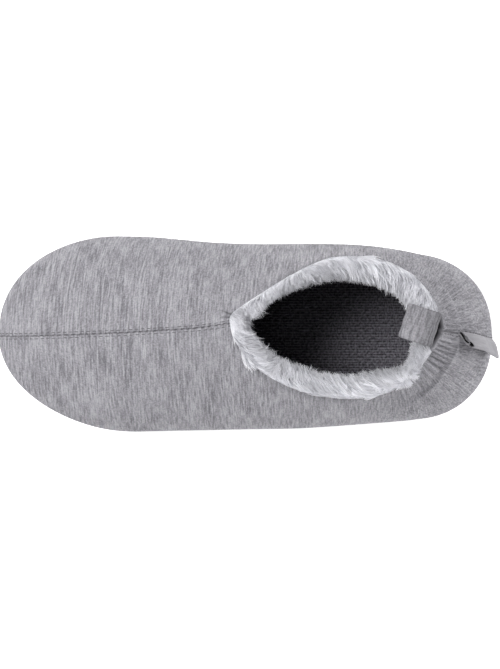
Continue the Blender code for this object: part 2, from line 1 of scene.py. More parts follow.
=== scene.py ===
"""Looks of a low slipper boot for a left foot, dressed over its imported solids.

Units are metres. +X points to the toe, +Y to the outer side of the foot and +Z up from the floor.
"""

from __future__ import annotations

import logging
import math
from collections.abc import Callable, Sequence
from dataclasses import dataclass, field
from enum import Enum
from typing import Any

import bmesh
import bpy
import numpy as np
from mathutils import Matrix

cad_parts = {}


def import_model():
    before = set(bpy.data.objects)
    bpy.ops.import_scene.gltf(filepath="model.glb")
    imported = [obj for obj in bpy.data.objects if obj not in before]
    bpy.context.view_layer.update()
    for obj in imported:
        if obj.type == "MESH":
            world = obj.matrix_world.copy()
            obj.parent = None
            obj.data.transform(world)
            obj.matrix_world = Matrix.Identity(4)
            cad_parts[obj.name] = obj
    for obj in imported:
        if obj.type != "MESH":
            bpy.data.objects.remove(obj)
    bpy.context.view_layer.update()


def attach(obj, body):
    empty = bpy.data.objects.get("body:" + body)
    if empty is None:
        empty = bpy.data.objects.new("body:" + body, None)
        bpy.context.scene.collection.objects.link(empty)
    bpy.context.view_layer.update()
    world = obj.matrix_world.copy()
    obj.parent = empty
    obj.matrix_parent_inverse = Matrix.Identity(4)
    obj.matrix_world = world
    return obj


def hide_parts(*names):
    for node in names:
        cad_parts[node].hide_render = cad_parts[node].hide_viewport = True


LOG = logging.getLogger("slipper_boot")
BODY = "root"
UP = np.array([0.0, 0.0, 1.0])
CLOTH_MAP = "cloth"
Table = tuple[tuple[float, ...], ...]
Pair = tuple[float, float]
Triple = tuple[float, float, float]
Array = np.ndarray
Piece = bpy.types.Object


class Slot(Enum):
    """Material slots of the record."""

    JERSEY = "jersey"
    FUR = "fur"
    FOOTBED = "footbed"
    RUBBER = "rubber"
    TAG = "tag"


class Seam(Enum):
    """The two seams that join the halves of the upper, each with its place round the outline."""

    VAMP = 0.0
    BACK = -1.0


# Node graphs


class Value:
    """An output socket that takes part in Python sums, each of which adds a Math node."""

    def __init__(self, graph: Graph, socket: bpy.types.NodeSocket) -> None:
        """Wrap a socket.

        Args:
            graph: The graph that the socket's node is in.
            socket: The output socket.
        """
        self.graph = graph
        self.socket = socket

    def other(self, name: str | int) -> Value:
        """Another output of the same node, by name, identifier or index."""
        return Value(self.graph, self.graph.find(self.socket.node.outputs, name))

    def sum(self, operation: str, other: Value | float, swapped: bool = False) -> Value:
        """One Math node on this value.

        Args:
            operation: The Math node's operation.
            other: The second value.
            swapped: True to put the second value first.

        Returns:
            The result.
        """
        pair = (other, self) if swapped else (self, other)
        return self.graph.node("ShaderNodeMath", {"operation": operation}, {0: pair[0], 1: pair[1]})

    def __add__(self, other: Value | float) -> Value:
        """self + other."""
        return self.sum("ADD", other)

    def __radd__(self, other: float) -> Value:
        """other + self."""
        return self.sum("ADD", other, swapped=True)

    def __sub__(self, other: Value | float) -> Value:
        """self - other."""
        return self.sum("SUBTRACT", other)

    def __rsub__(self, other: float) -> Value:
        """other - self."""
        return self.sum("SUBTRACT", other, swapped=True)

    def __mul__(self, other: Value | float) -> Value:
        """self * other."""
        return self.sum("MULTIPLY", other)

    def __rmul__(self, other: float) -> Value:
        """other * self."""
        return self.sum("MULTIPLY", other, swapped=True)

    def __truediv__(self, other: Value | float) -> Value:
        """self / other."""
        return self.sum("DIVIDE", other)

    def sine(self) -> Value:
        """Sine of this value in radians."""
        return self.graph.node("ShaderNodeMath", {"operation": "SINE"}, {0: self})

    def wave(self, length: float) -> Value:
        """Sine wave of a given wavelength."""
        return (self * (2 * math.pi / length)).sine()

    def between(self, low: float, high: float) -> Value:
        """0 at low rising smoothly to 1 at high."""
        ends = {"Value": self, "From Min": low, "From Max": high}
        return self.graph.node("ShaderNodeMapRange", {"interpolation_type": "SMOOTHSTEP"}, ends)


class Graph:
    """A node tree that is filled by short calls."""

    def __init__(self, tree: bpy.types.NodeTree) -> None:
        """Wrap a tree."""
        self.tree = tree

    @staticmethod
    def find(sockets: Any, key: str | int) -> bpy.types.NodeSocket:
        """A socket by index, identifier or name.

        Args:
            sockets: Inputs or outputs of a node.
            key: Which one.

        Returns:
            The socket.
        """
        if isinstance(key, str):
            for socket in sockets:
                if socket.identifier == key:
                    return socket
        return sockets[key]

    def node(
        self,
        kind: str,
        settings: dict[str, Any] | None = None,
        inputs: dict[str | int, Any] | None = None,
        output: str | int = 0,
    ) -> Value:
        """Add a node of any type.

        Args:
            kind: The node's type.
            settings: Its own settings, which are set first.
            inputs: Values or links of its sockets.
            output: The output to return.

        Returns:
            The chosen output.
        """
        made = self.tree.nodes.new(kind)
        for name, value in (settings or {}).items():
            setattr(made, name, value)
        for key, value in (inputs or {}).items():
            socket = self.find(made.inputs, key)
            if isinstance(value, Value):
                self.tree.links.new(value.socket, socket)
            else:
                socket.default_value = value
        return Value(self, self.find(made.outputs, output))

    def blend(self, low: Sequence[float] | Value, high: Sequence[float] | Value, share: Value) -> Value:
        """A colour between two colours."""
        ends = {"Factor_Float": share, "A_Color": self.colour(low), "B_Color": self.colour(high)}
        return self.node("ShaderNodeMix", {"data_type": "RGBA"}, ends, "Result_Color")

    @staticmethod
    def colour(value: Sequence[float] | Value) -> Any:
        """A colour with its alpha, or a link as it is."""
        return value if isinstance(value, Value) else (*value[:3], 1.0)

    def arrow(self, operation: str, first: Any, second: Any = None, **others: Any) -> Value:
        """One Vector Math node."""
        inputs = {0: first, **others} if second is None else {0: first, 1: second, **others}
        return self.node("ShaderNodeVectorMath", {"operation": operation}, inputs)

    def place(self, x: Value | float, y: Value | float, z: Value | float = 0.0) -> Value:
        """A vector from three values."""
        return self.node("ShaderNodeCombineXYZ", None, {0: x, 1: y, 2: z})

    def noise(self, place: Value, scale: float = 1.0, detail: float = 2.0, roughness: float = 0.5) -> Value:
        """Even noise from 0 to 1 at a place."""
        ends = {"Vector": place, "Scale": scale, "Detail": detail, "Roughness": roughness}
        return self.node("ShaderNodeTexNoise", {"noise_dimensions": "3D"}, ends)

    def chance(self, low: float, high: float, seed: int, key: Value | None = None) -> Value:
        """A random number for each point, or for each value of a key.

        Args:
            low: Least number.
            high: Greatest number.
            seed: Seed of the draw.
            key: Points with the same key share a number; None gives each its own.

        Returns:
            The number.
        """
        ends = {2: low, 3: high, "Seed": seed}
        if key is not None:
            ends["ID"] = key
        return self.node("FunctionNodeRandomValue", {"data_type": "FLOAT"}, ends, 1)

    def flat(self, place: Value) -> tuple[Value, Value]:
        """The first two parts of a vector."""
        split = self.node("ShaderNodeSeparateXYZ", None, {0: place})
        return split, split.other(1)

    def cloth(self) -> tuple[Value, Value]:
        """The cloth's own map: along and across, in metres."""
        return self.flat(self.node("ShaderNodeUVMap", {"uv_map": CLOTH_MAP}))

    def position(self) -> Value:
        """The place in the object's own space."""
        return self.node("ShaderNodeTexCoord", None, None, "Object")

    def stored(self, name: str) -> Value:
        """A number that is stored on the mesh."""
        return self.node("ShaderNodeAttribute", {"attribute_name": name}, None, "Fac")


# Finishes


Coat = tuple[Value, Value | None, Value | None]


@dataclass(frozen=True)
class Finish:
    """One material: a Principled surface with its colour, roughness and relief made by nodes."""

    name: str = "finish"
    roughness: float = 0.9
    sheen: float = 0.0
    sheen_roughness: float = 0.45
    specular: float = 0.3
    relief: float = 0.0003
    relief_strength: float = 0.5
    glow: float = 0.0

    def paint(self, graph: Graph) -> Coat:
        """Colour, height and roughness over the surface; a finish overrides this.

        Args:
            graph: The material's graph.

        Returns:
            The colour, the height or None, and the roughness or None.
        """
        raise NotImplementedError

    def material(self) -> bpy.types.Material:
        """The finished material, made once and then shared.

        Returns:
            The material.
        """
        known = bpy.data.materials.get(self.name)
        if known is not None and known.get("dressed"):
            return known
        made = bpy.data.materials.new(self.name)
        made["dressed"] = True
        made.use_nodes = True
        graph = Graph(made.node_tree)
        shader = made.node_tree.nodes["Principled BSDF"]
        colour, height, rough = self.paint(graph)
        made.node_tree.links.new(colour.socket, shader.inputs["Base Color"])
        shader.inputs["Roughness"].default_value = self.roughness
        shader.inputs["Specular IOR Level"].default_value = self.specular
        if self.sheen > 0:
            shader.inputs["Sheen Weight"].default_value = self.sheen
            shader.inputs["Sheen Roughness"].default_value = self.sheen_roughness
        if self.glow > 0:
            shader.inputs["Emission Color"].default_value = (1.0, 1.0, 1.0, 1.0)
            shader.inputs["Emission Strength"].default_value = self.glow
        if rough is not None:
            made.node_tree.links.new(rough.socket, shader.inputs["Roughness"])
        if height is not None:
            ends = {"Strength": self.relief_strength, "Distance": self.relief, "Height": height}
            bump = graph.node("ShaderNodeBump", None, ends)
            made.node_tree.links.new(bump.socket, shader.inputs["Normal"])
        return made


@dataclass(frozen=True)
class Jersey(Finish):
    """Heathered knit: pale and dark fibres in short streaks along the courses of the knit."""

    name: str = "jersey_marl"
    dark: Triple = (0.148, 0.144, 0.160)
    light: Triple = (0.446, 0.439, 0.470)
    # dark of the stitches and seams, and also the colour of the painted shade where the fold mark is set
    seam_and_shade_dark: Triple = (0.040, 0.039, 0.043)
    # width and length of each grain
    streak: Pair = (0.00096, 0.0150)
    fibre: Pair = (0.00100, 0.0028)
    patch: Pair = (0.0090, 0.0380)
    speck: Pair = (0.00090, 0.00090)
    # share in the tone and change of that share at the heel, for streaks, fibres, patches and specks
    shares: Table = ((0.40, -0.12), (0.18, 0.18), (0.17, 0.0), (0.25, -0.06))
    heel_tone: float = -0.006
    tone_range: Pair = (0.355, 0.655)
    wale: float = 0.0011
    wale_height: float = 0.5
    course: float = 0.0009
    course_height: float = 0.25
    stitch: float = 0.0036
    stitch_wander: float = 9.0
    stitch_edge: float = 0.35
    layer_step: float = 7.0
    # darkness of the seams: of the vamp seam's stitches, of the whole back seam and of both all along
    stitch_mark: float = 0.78
    back_mark: float = 0.55
    seam_mark: float = 0.03
    relief: float = 0.0002

    def paint(self, graph: Graph) -> Coat:
        """Streaks and patches on the cloth's own map, dark stitches in the seams and loops as relief.

        Args:
            graph: The material's graph.

        Returns:
            The colour, the height and None.
        """
        along, across = graph.cloth()
        heel, crease, fold = (graph.stored(name) for name in ("heel", "crease", "fold"))
        sizes = (self.streak, self.fibre, self.patch, self.speck)
        mixed, tones = heel * self.heel_tone, []
        for depth, ((wide, long), (share, at_heel)) in enumerate(zip(sizes, self.shares)):
            place = graph.place(along * (1 / wide), across * (1 / long), self.layer_step * depth)
            tones.append(graph.noise(place, 1.0, 2.0, 0.6))
            mixed = mixed + tones[depth] * (share + heel * at_heel)
        tone = mixed.between(*self.tone_range)
        relief = along.wave(self.wale) * self.wale_height + across.wave(self.course) * self.course_height
        wander = graph.noise(graph.place(along / self.stitch, 0.0, 2.0), 0.6, 1.0, 0.5) * self.stitch_wander
        dash = (along * (2 * math.pi / self.stitch) + wander).sine()
        dash = dash.between(-self.stitch_edge, self.stitch_edge)
        marks = dash * (self.stitch_mark - heel * self.stitch_mark) + heel * self.back_mark + self.seam_mark
        # stitches and seams darken the cloth, and the fold mark paints shade with the same dark colour
        colour = graph.blend(graph.blend(self.dark, self.light, tone), self.seam_and_shade_dark, crease * marks + fold)
        return colour, relief + tones[0], None


@dataclass(frozen=True)
class Fur(Finish):
    """Fake fur: each strand is darker at its root, and strands differ in tone."""

    name: str = "fur_pile"
    root: Triple = (0.42, 0.42, 0.46)
    tip: Triple = (0.90, 0.90, 0.94)
    tip_share: float = 0.35
    shade_share: float = 0.75
    tone_range: Pair = (0.0, 0.95)
    roughness: float = 0.8
    sheen: float = 0.2

    def paint(self, graph: Graph) -> Coat:
        """Colour from the strand's own marks."""
        share = graph.stored("tip") * self.tip_share + graph.stored("shade") * self.shade_share
        return graph.blend(self.root, self.tip, share.between(*self.tone_range)), None, None


@dataclass(frozen=True)
class Fleece(Finish):
    """Matted pile of the lining and of the ground that the fur grows from."""

    name: str = "fleece_ground"
    low: Triple = (0.28, 0.28, 0.30)
    high: Triple = (0.62, 0.62, 0.65)
    # dark colour of the painted shade where the fold mark is set
    gap: Triple = (0.012, 0.012, 0.013)
    tuft: float = 0.0009
    tone_range: Pair = (0.3, 0.7)
    sheen: float = 0.2
    relief: float = 0.0012
    relief_strength: float = 0.8

    def paint(self, graph: Graph) -> Coat:
        """Tufts as noise, with painted shade where the fold mark is set.

        Args:
            graph: The material's graph.

        Returns:
            The colour, the height and None.
        """
        tuft = graph.noise(graph.position(), 1 / self.tuft, 3.0, 0.6)
        colour = graph.blend(self.low, self.high, tuft.between(*self.tone_range))
        return graph.blend(colour, self.gap, graph.stored("fold")), tuft, None


@dataclass(frozen=True)
class Terry(Finish):
    """Ribbed terry of the footbed, with painted shade between the ribs."""

    name: str = "terry_charcoal"
    low: Triple = (0.012, 0.0114, 0.0138)
    high: Triple = (0.240, 0.230, 0.264)
    rib: float = 0.0014
    rib_shade_share: float = 0.16
    loop: float = 0.0011
    tone_range: Pair = (0.25, 0.80)
    sheen: float = 0.15
    relief: float = 0.0006

    def paint(self, graph: Graph) -> Coat:
        """Ribs along the foot, broken into loops.

        Args:
            graph: The material's graph.

        Returns:
            The colour, the height and None.
        """
        along, across = graph.flat(graph.position())
        rib = across.wave(self.rib) * 0.5 + 0.5
        loop = graph.noise(graph.place(along * (1 / self.loop), across * (1 / self.rib), 3.0), 1.0, 2.0, 0.6)
        # the ribs' wave in the tone is painted shade, darker between the ribs
        tone = rib * self.rib_shade_share + loop * (1 - self.rib_shade_share)
        return graph.blend(self.low, self.high, tone.between(*self.tone_range)), loop, None


@dataclass(frozen=True)
class Rubber(Finish):
    """Moulded rubber with a fine matt grain."""

    name: str = "sole_rubber"
    low: Triple = (0.038, 0.038, 0.043)
    high: Triple = (0.062, 0.062, 0.068)
    grain: float = 0.0009
    cloud: float = 1 / 45
    roughness: float = 0.62
    rough_spread: float = 0.1
    specular: float = 0.45
    relief: float = 0.00012

    def paint(self, graph: Graph) -> Coat:
        """Grain and faint clouding.

        Args:
            graph: The material's graph.

        Returns:
            The colour, the height and the roughness.
        """
        place = graph.position()
        grain = graph.noise(place, 1 / self.grain, 2.0, 0.6)
        cloud = graph.noise(place, 1 / self.cloud, 2.0, 0.5)
        rough = self.roughness - self.rough_spread + cloud * (2 * self.rough_spread)
        return graph.blend(self.low, self.high, grain * 0.5 + cloud * 0.5), grain, rough


@dataclass(frozen=True)
class Tape(Finish):
    """Plain woven tape."""

    name: str = "tag_tape"
    low: Triple = (0.22, 0.214, 0.231)
    high: Triple = (0.46, 0.452, 0.480)
    # dark colour of the painted shade inside the tape's fold
    gap: Triple = (0.006, 0.006, 0.007)
    thread: float = 0.0007
    mottle: Pair = (1 / 900, 1 / 160)
    weave_share: float = 0.3
    relief: float = 0.00015

    def paint(self, graph: Graph) -> Coat:
        """Fine crossing threads, with painted shade where the fold mark is set.

        Args:
            graph: The material's graph.

        Returns:
            The colour, the height and None.
        """
        along, across = graph.cloth()
        weave = along.wave(self.thread) * across.wave(self.thread) * 0.5 + 0.5
        place = graph.place(along * (1 / self.mottle[0]), across * (1 / self.mottle[1]), 1.0)
        mottle = graph.noise(place, 1.0, 2.0, 0.5)
        tone = weave * self.weave_share + mottle * (1 - self.weave_share)
        colour = graph.blend(self.low, self.high, tone)
        return graph.blend(colour, self.gap, graph.stored("fold")), weave, None


@dataclass(frozen=True)
class Thread(Finish):
    """Grey sewing thread."""

    name: str = "sewing_thread"
    low: Triple = (0.075, 0.073, 0.081)
    high: Triple = (0.160, 0.157, 0.171)
    twist: float = 1 / 2600
    roughness: float = 0.7
    relief: float = 0.0001

    def paint(self, graph: Graph) -> Coat:
        """Twist of the thread as noise."""
        twist = graph.noise(graph.position(), 1 / self.twist, 1.0, 0.5)
        return graph.blend(self.low, self.high, twist), twist, None


@dataclass(frozen=True)
class PaleFloor(Finish):
    """Plain pale floor."""

    name: str = "pale_floor"
    tone: Triple = (0.93, 0.93, 0.93)
    roughness: float = 0.95
    glow: float = 0.7

    def paint(self, graph: Graph) -> Coat:
        """One even colour with a trace of mottling."""
        mottle = graph.noise(graph.position(), 3.0, 1.0, 0.5)
        return graph.blend(self.tone, tuple(1.01 * part for part in self.tone), mottle), None, None


# Meshes


@dataclass
class MeshMaker:
    """Collects points and faces for one mesh."""

    points: list[Array] = field(default_factory=list)
    faces: list[tuple[int, ...]] = field(default_factory=list)
    slots: list[int] = field(default_factory=list)
    count: int = 0

    def add(self, points: Array) -> Array:
        """Add points of any grid shape.

        Args:
            points: The points, with x, y and z last.

        Returns:
            Their numbers, in the grid's shape.
        """
        flat = points.reshape(-1, 3)
        self.points.append(flat)
        numbers = np.arange(self.count, self.count + len(flat)).reshape(points.shape[:-1])
        self.count += len(flat)
        return numbers

    def skin(self, numbers: Array, wrap: tuple[bool, bool] = (False, False), slot: int = 0) -> None:
        """Join the points of a grid by faces.

        Args:
            numbers: Point numbers of the grid.
            wrap: Whether each direction closes on itself.
            slot: Material slot of the faces.
        """
        rounds, rows = numbers.shape
        for i in range(rounds if wrap[0] else rounds - 1):
            k = (i + 1) % rounds
            for j in range(rows if wrap[1] else rows - 1):
                m = (j + 1) % rows
                self.faces.append((numbers[i, j], numbers[k, j], numbers[k, m], numbers[i, m]))
                self.slots.append(slot)

    def cap(self, ring: Sequence[int]) -> None:
        """Close a ring of points by one face."""
        self.faces.append(tuple(int(number) for number in ring))
        self.slots.append(0)

    def finish(self, name: str, materials: Sequence[bpy.types.Material], merge: float = 0.0) -> Piece:
        """The finished object.

        Args:
            name: Its name.
            materials: Its materials, in the order of the slots.
            merge: Points nearer than this are made one.

        Returns:
            The object, linked to the scene.
        """
        mesh = bpy.data.meshes.new(name)
        mesh.from_pydata(np.concatenate(self.points).tolist(), [], [tuple(map(int, f)) for f in self.faces])
        for material in materials:
            mesh.materials.append(material)
        mesh.polygons.foreach_set("material_index", self.slots)
        made = bpy.data.objects.new(name, mesh)
        bpy.context.scene.collection.objects.link(made)
        turn_outwards(made, merge)
        return made


def turn_outwards(piece: Piece, merge: float = 0.0) -> None:
    """Merge doubles, turn the faces outwards and shade them smooth.

    Args:
        piece: A mesh object.
        merge: Points nearer than this are made one, and 0 leaves them.
    """
    work = bmesh.new()
    work.from_mesh(piece.data)
    if merge > 0:
        bmesh.ops.remove_doubles(work, verts=work.verts, dist=merge)
        bmesh.ops.dissolve_degenerate(work, edges=work.edges, dist=merge / 10)
    bmesh.ops.recalc_face_normals(work, faces=work.faces)
    work.to_mesh(piece.data)
    work.free()
    piece.data.shade_smooth()


def mark(piece: Piece, name: str, values: Array) -> None:
    """Store one number or vector for each point of a mesh.

    Args:
        piece: A mesh object.
        name: The attribute's name.
        values: One value or one row of three for each point.
    """
    kind, key = ("FLOAT_VECTOR", "vector") if values.ndim == 2 else ("FLOAT", "value")
    made = piece.data.attributes.new(name, kind, "POINT")
    made.data.foreach_set(key, np.ascontiguousarray(values, dtype=np.float32).ravel())


def map_cloth(piece: Piece, along: Array, across: Array) -> None:
    """Store the cloth's own map, in metres.

    Args:
        piece: A mesh object.
        along: First coordinate of each point.
        across: Second coordinate of each point.
    """
    layer = piece.data.uv_layers.new(name=CLOTH_MAP)
    corner = np.zeros(len(piece.data.loops), dtype=np.int32)
    piece.data.loops.foreach_get("vertex_index", corner)
    pairs = np.stack([along[corner], across[corner]], axis=1).astype(np.float32)
    layer.data.foreach_set("uv", pairs.ravel())


def settle(piece: Piece, slot: Slot, *nodes: str) -> Piece:
    """Tie a finished piece to the boot.

    Args:
        piece: The piece.
        slot: A slot of the record; not used.
        nodes: CAD nodes that it stands for.

    Returns:
        The same piece.
    """
    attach(piece, BODY)
    if nodes:
        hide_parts(*nodes)
    faces = sum(len(polygon.vertices) - 2 for polygon in piece.data.polygons)
    LOG.info("%s: %d triangles", piece.name, faces)
    return piece


def grown(carrier: Piece, tree: bpy.types.NodeTree, name: str, sizes: dict[str, Any]) -> Piece:
    """Run a Geometry Nodes tree on a carrier and keep the result as a plain mesh.

    Args:
        carrier: The object that the tree works on; it is removed afterwards.
        tree: The tree.
        name: Name of the new object.
        sizes: Values of the tree's named inputs.

    Returns:
        The new object.
    """
    modifier = carrier.modifiers.new(tree.name, "NODES")
    modifier.node_group = tree
    for item in tree.interface.items_tree:
        if item.item_type == "SOCKET" and item.in_out == "INPUT" and item.name in sizes:
            modifier[item.identifier] = sizes[item.name]
    bpy.context.view_layer.update()
    graph = bpy.context.evaluated_depsgraph_get()
    mesh = bpy.data.meshes.new_from_object(carrier.evaluated_get(graph), depsgraph=graph)
    mesh.name = name
    carrier.modifiers.remove(modifier)
    made = bpy.data.objects.new(name, mesh)
    bpy.context.scene.collection.objects.link(made)
    bpy.data.objects.remove(carrier)
    return made


def geometry_tree(name: str, inputs: dict[str, tuple[str, Any]]) -> tuple[Graph, Value]:
    """An empty Geometry Nodes tree with named inputs.

    Args:
        name: The tree's name.
        inputs: Socket type and default of each input after the geometry.

    Returns:
        The graph, and its group input's first output.
    """
    tree = bpy.data.node_groups.new(name, "GeometryNodeTree")
    tree.interface.new_socket("Geometry", in_out="INPUT", socket_type="NodeSocketGeometry")
    tree.interface.new_socket("Geometry", in_out="OUTPUT", socket_type="NodeSocketGeometry")
    for key, (kind, value) in inputs.items():
        socket = tree.interface.new_socket(key, in_out="INPUT", socket_type=kind)
        if value is not None:
            socket.default_value = value
    graph = Graph(tree)
    return graph, graph.node("NodeGroupInput")


def end_tree(graph: Graph, instances: Value, material: Value) -> bpy.types.NodeTree:
    """Realize the instances, set their material and end the tree.

    Args:
        graph: The tree's graph.
        instances: The instances.
        material: The tree's material input.

    Returns:
        The finished tree.
    """
    real = graph.node("GeometryNodeRealizeInstances", None, {0: instances})
    smooth = graph.node("GeometryNodeSetShadeSmooth", None, {0: real})
    dressed = graph.node("GeometryNodeSetMaterial", None, {"Geometry": smooth, "Material": material})
    end = graph.tree.nodes.new("NodeGroupOutput")
    graph.tree.links.new(dressed.socket, end.inputs[0])
    return graph.tree


# Shape of the boot


def smooth_curve(at: Array, places: Array, values: Array, level_ends: bool = True) -> Array:
    """A curve through values with no overshoot between them.

    Args:
        at: Where to read the curve.
        places: Rising places of the values.
        values: The values.
        level_ends: Whether the ends run level or keep the slope of their span.

    Returns:
        The curve at each place asked.
    """
    at = np.clip(np.asarray(at, float), places[0], places[-1])
    steps = np.diff(places)
    slopes = np.diff(values) / steps
    tangents = np.zeros(len(places))
    if not level_ends:
        tangents[0], tangents[-1] = slopes[0], slopes[-1]
    for i in range(1, len(places) - 1):
        before, after = slopes[i - 1], slopes[i]
        if before * after > 0:
            tangents[i] = 2 * before * after / (before + after)
    span = np.clip(np.searchsorted(places, at, side="right") - 1, 0, len(steps) - 1)
    width = steps[span]
    t = (at - places[span]) / width
    start = (1 + 2 * t) * (1 - t) ** 2 * values[span] + t * (1 - t) ** 2 * width * tangents[span]
    end = t * t * (3 - 2 * t) * values[span + 1] + t * t * (t - 1) * width * tangents[span + 1]
    return start + end


def bump(distance: Array, spread: float) -> Array:
    """A soft round bump of height 1."""
    return np.exp(-((distance / spread) ** 2))


def ease(value: Array, low: float, high: float) -> Array:
    """0 at low rising smoothly to 1 at high."""
    t = np.clip((value - low) / (high - low), 0, 1)
    return t * t * (3 - 2 * t)


def waves(at: Array, rows: Table) -> Array:
    """Sum of sine waves, from rows of strength, radians to a unit and shift."""
    return sum(strength * np.sin(pace * at + shift) for strength, pace, shift in rows)


def unit(vectors: Array) -> Array:
    """Vectors of length 1."""
    return vectors / np.maximum(np.linalg.norm(vectors, axis=-1, keepdims=True), 1e-12)


def run_lengths(line: Array) -> Array:
    """Distance of each point of a line from its start, along the line."""
    return np.concatenate([[0], np.cumsum(np.linalg.norm(np.diff(line, axis=0), axis=1))])


def with_height(points: Array, height: Array | float) -> Array:
    """Points from above with their heights."""
    return np.concatenate([points, np.broadcast_to(height, len(points))[:, None]], axis=1)


def grid_normals(grid: Array) -> Array:
    """Outward normals of a grid that closes on itself around the shoe."""
    around = np.roll(grid, -1, axis=0) - np.roll(grid, 1, axis=0)
    return unit(np.cross(around, np.gradient(grid, axis=1)))


def below_rim(grid: Array) -> Array:
    """Distance of each point of a grid from the collar, along its fold line.

    Args:
        grid: Points by place and row, from the sole up.

    Returns:
        One distance for each point.
    """
    steps = np.linalg.norm(np.diff(grid, axis=1), axis=2)
    total = np.cumsum(steps[:, ::-1], axis=1)[:, ::-1]
    return np.concatenate([total, np.zeros((len(grid), 1))], axis=1)


@dataclass(frozen=True)
class BootLast:
    """Shape of the boot, with the same sizes as its solids.

    Places round the outline run from 0 at the toe to 1 at the heel, and are negative on the inner side. At
    each place a fold line runs up the upper from the sole to the collar.
    """

    length: float = 0.264
    heel_back_x: float = -0.1304
    gap: float = 0.0003
    heel_reach: float = 0.035
    heel_fullness: float = 2.2
    toe_reach: Pair = (0.065, 0.075)
    toe_fullness: Pair = (2.15, 1.95)
    sole_inset: float = 0.0040
    wall: float = 0.0026
    tuck_roundness: float = 0.65
    collar_centre: Pair = (-0.0456, -0.0036)
    collar_half: Pair = (0.0537, 0.0365)
    collar_taper: float = 0.12
    throat_point: float = 0.0015
    throat_point_spread: float = 0.30
    throat_lean: float = -0.0045
    throat_lean_spread: float = 0.45
    back_draw: Pair = (0.0010, 0.0032)
    throat_draw: Pair = (-0.0026, 0.0037)
    throat_draw_turn: float = 1.5
    # station from the heel, half width of the inner and of the outer side
    widths: Table = (
        (0.000, 0.0385, 0.0410), (0.049, 0.0445, 0.0465), (0.081, 0.0480, 0.0492), (0.114, 0.0484, 0.0506),
        (0.146, 0.0492, 0.0513), (0.189, 0.0524, 0.0524), (0.264, 0.0526, 0.0524),
    )
    # station from the heel, height of the sole's underside and of its top
    sole_heights: Table = (
        (0.000, 0.0018, 0.0138), (0.012, 0.0000, 0.0132), (0.070, 0.0000, 0.0120), (0.112, 0.0022, 0.0110),
        (0.150, 0.0000, 0.0100), (0.205, 0.0000, 0.0098), (0.236, 0.0026, 0.0120), (0.264, 0.0080, 0.0165),
    )
    # share round the outline and along the collar, widest height, rise, rim height, slope at the rim, pull
    lines: Table = (
        (0.00, 0.000, 0.0300, 0.0250, 0.0940, 21.0, 0.058),
        (0.14, 0.030, 0.0285, 0.0260, 0.0938, 22.0, 0.052),
        (0.29, 0.085, 0.0265, 0.0280, 0.0930, 27.0, 0.042),
        (0.45, 0.200, 0.0275, 0.0310, 0.0905, 48.0, 0.026),
        (0.62, 0.460, 0.0290, 0.0300, 0.0880, 72.0, 0.022),
        (0.80, 0.740, 0.0300, 0.0270, 0.0920, 74.0, 0.022),
        (1.00, 1.000, 0.0300, 0.0240, 0.1000, 70.0, 0.028),
    )
    line_names: tuple[str, ...] = ("around", "collar", "widest", "rise", "rim", "slope", "pull")
    band_height: float = 0.024
    band_start: float = 0.66
    band_fade: float = 0.16
    band_pinch: float = 0.0022
    band_pinch_spread: float = 0.0050
    heel_puff: float = 0.0016
    heel_puff_below: float = 0.012
    heel_puff_spread: float = 0.0085

    def line(self, around: Array, name: str) -> Array:
        """One column of the fold lines' table at places round the outline."""
        table = np.array(self.lines)
        return smooth_curve(around, table[:, 0], table[:, self.line_names.index(name)], name != "collar")

    def sole(self, station: Array, top: bool) -> Array:
        """Height of the sole's top or underside at stations from the heel."""
        table = np.array(self.sole_heights)
        return smooth_curve(station, table[:, 0], table[:, 2 if top else 1])

    def half_width(self, station: Array, outer: bool) -> Array:
        """Half width of the outline at stations from the heel, on one side.

        Args:
            station: Distances from the back of the heel.
            outer: True for the outer side.

        Returns:
            One half width for each station.
        """
        reach, fullness = self.toe_reach[int(outer)], self.toe_fullness[int(outer)]
        table = np.array(self.widths)
        width = smooth_curve(station, table[:, 0], table[:, 2 if outer else 1])
        into_toe = np.clip((station - (self.length - reach)) / reach, 0, 1)
        into_heel = np.clip((self.heel_reach - station) / self.heel_reach, 0, 1)
        toe = (1 - into_toe**fullness) ** (1 / fullness)
        heel = (1 - into_heel**self.heel_fullness) ** (1 / self.heel_fullness)
        return width * toe * heel

    def outline(self, around: Array, inset: float = 0.0) -> Array:
        """Points of the outline from above.

        Args:
            around: Share of the way from toe to heel, negative on the inner side.
            inset: How far the outline is drawn in.

        Returns:
            x and y of each place.
        """
        station = self.length * (0.5 + 0.5 * np.cos(math.pi * np.linspace(0, 1, 900)))
        points = np.zeros((len(around), 2))
        for outer in (False, True):
            sign = 1 if outer else -1
            side = np.stack([station + self.heel_back_x, sign * self.half_width(station, outer)], axis=1)
            along = run_lengths(side)
            tangent = np.gradient(side, along, axis=0)
            normal = sign * np.stack([tangent[:, 1], -tangent[:, 0]], axis=1)
            normal[0], normal[-1] = (1, 0), (-1, 0)
            side = side - inset * normal
            chosen = (around > 0) == outer
            for axis in range(2):
                points[chosen, axis] = np.interp(np.abs(around[chosen]), along / along[-1], side[:, axis])
        return points

    def station(self, points: Array) -> Array:
        """Distance of points from the back of the heel."""
        return points[:, 0] - self.heel_back_x

    def collar(self, around: Array, centre_x: float | None = None, half: Pair | None = None) -> Array:
        """Points of the collar line from above, or of a smaller line inside it.

        Args:
            around: Places round the outline.
            centre_x: Middle of the line, if it isn't the collar's.
            half: Half length and half width, if they aren't the collar's.

        Returns:
            x and y of each place.
        """
        half_length, half_width = half or self.collar_half
        turn = math.pi * self.line(np.abs(around), "collar")
        point = self.throat_point * bump(turn, self.throat_point_spread)
        lean = self.throat_lean * bump(turn, self.throat_lean_spread)
        width = half_width * np.sin(turn) * (1 - self.collar_taper * np.cos(turn))
        x = (self.collar_centre[0] if centre_x is None else centre_x) + half_length * np.cos(turn) + point
        return np.stack([x, self.collar_centre[1] + lean + np.sign(around) * width], axis=1)

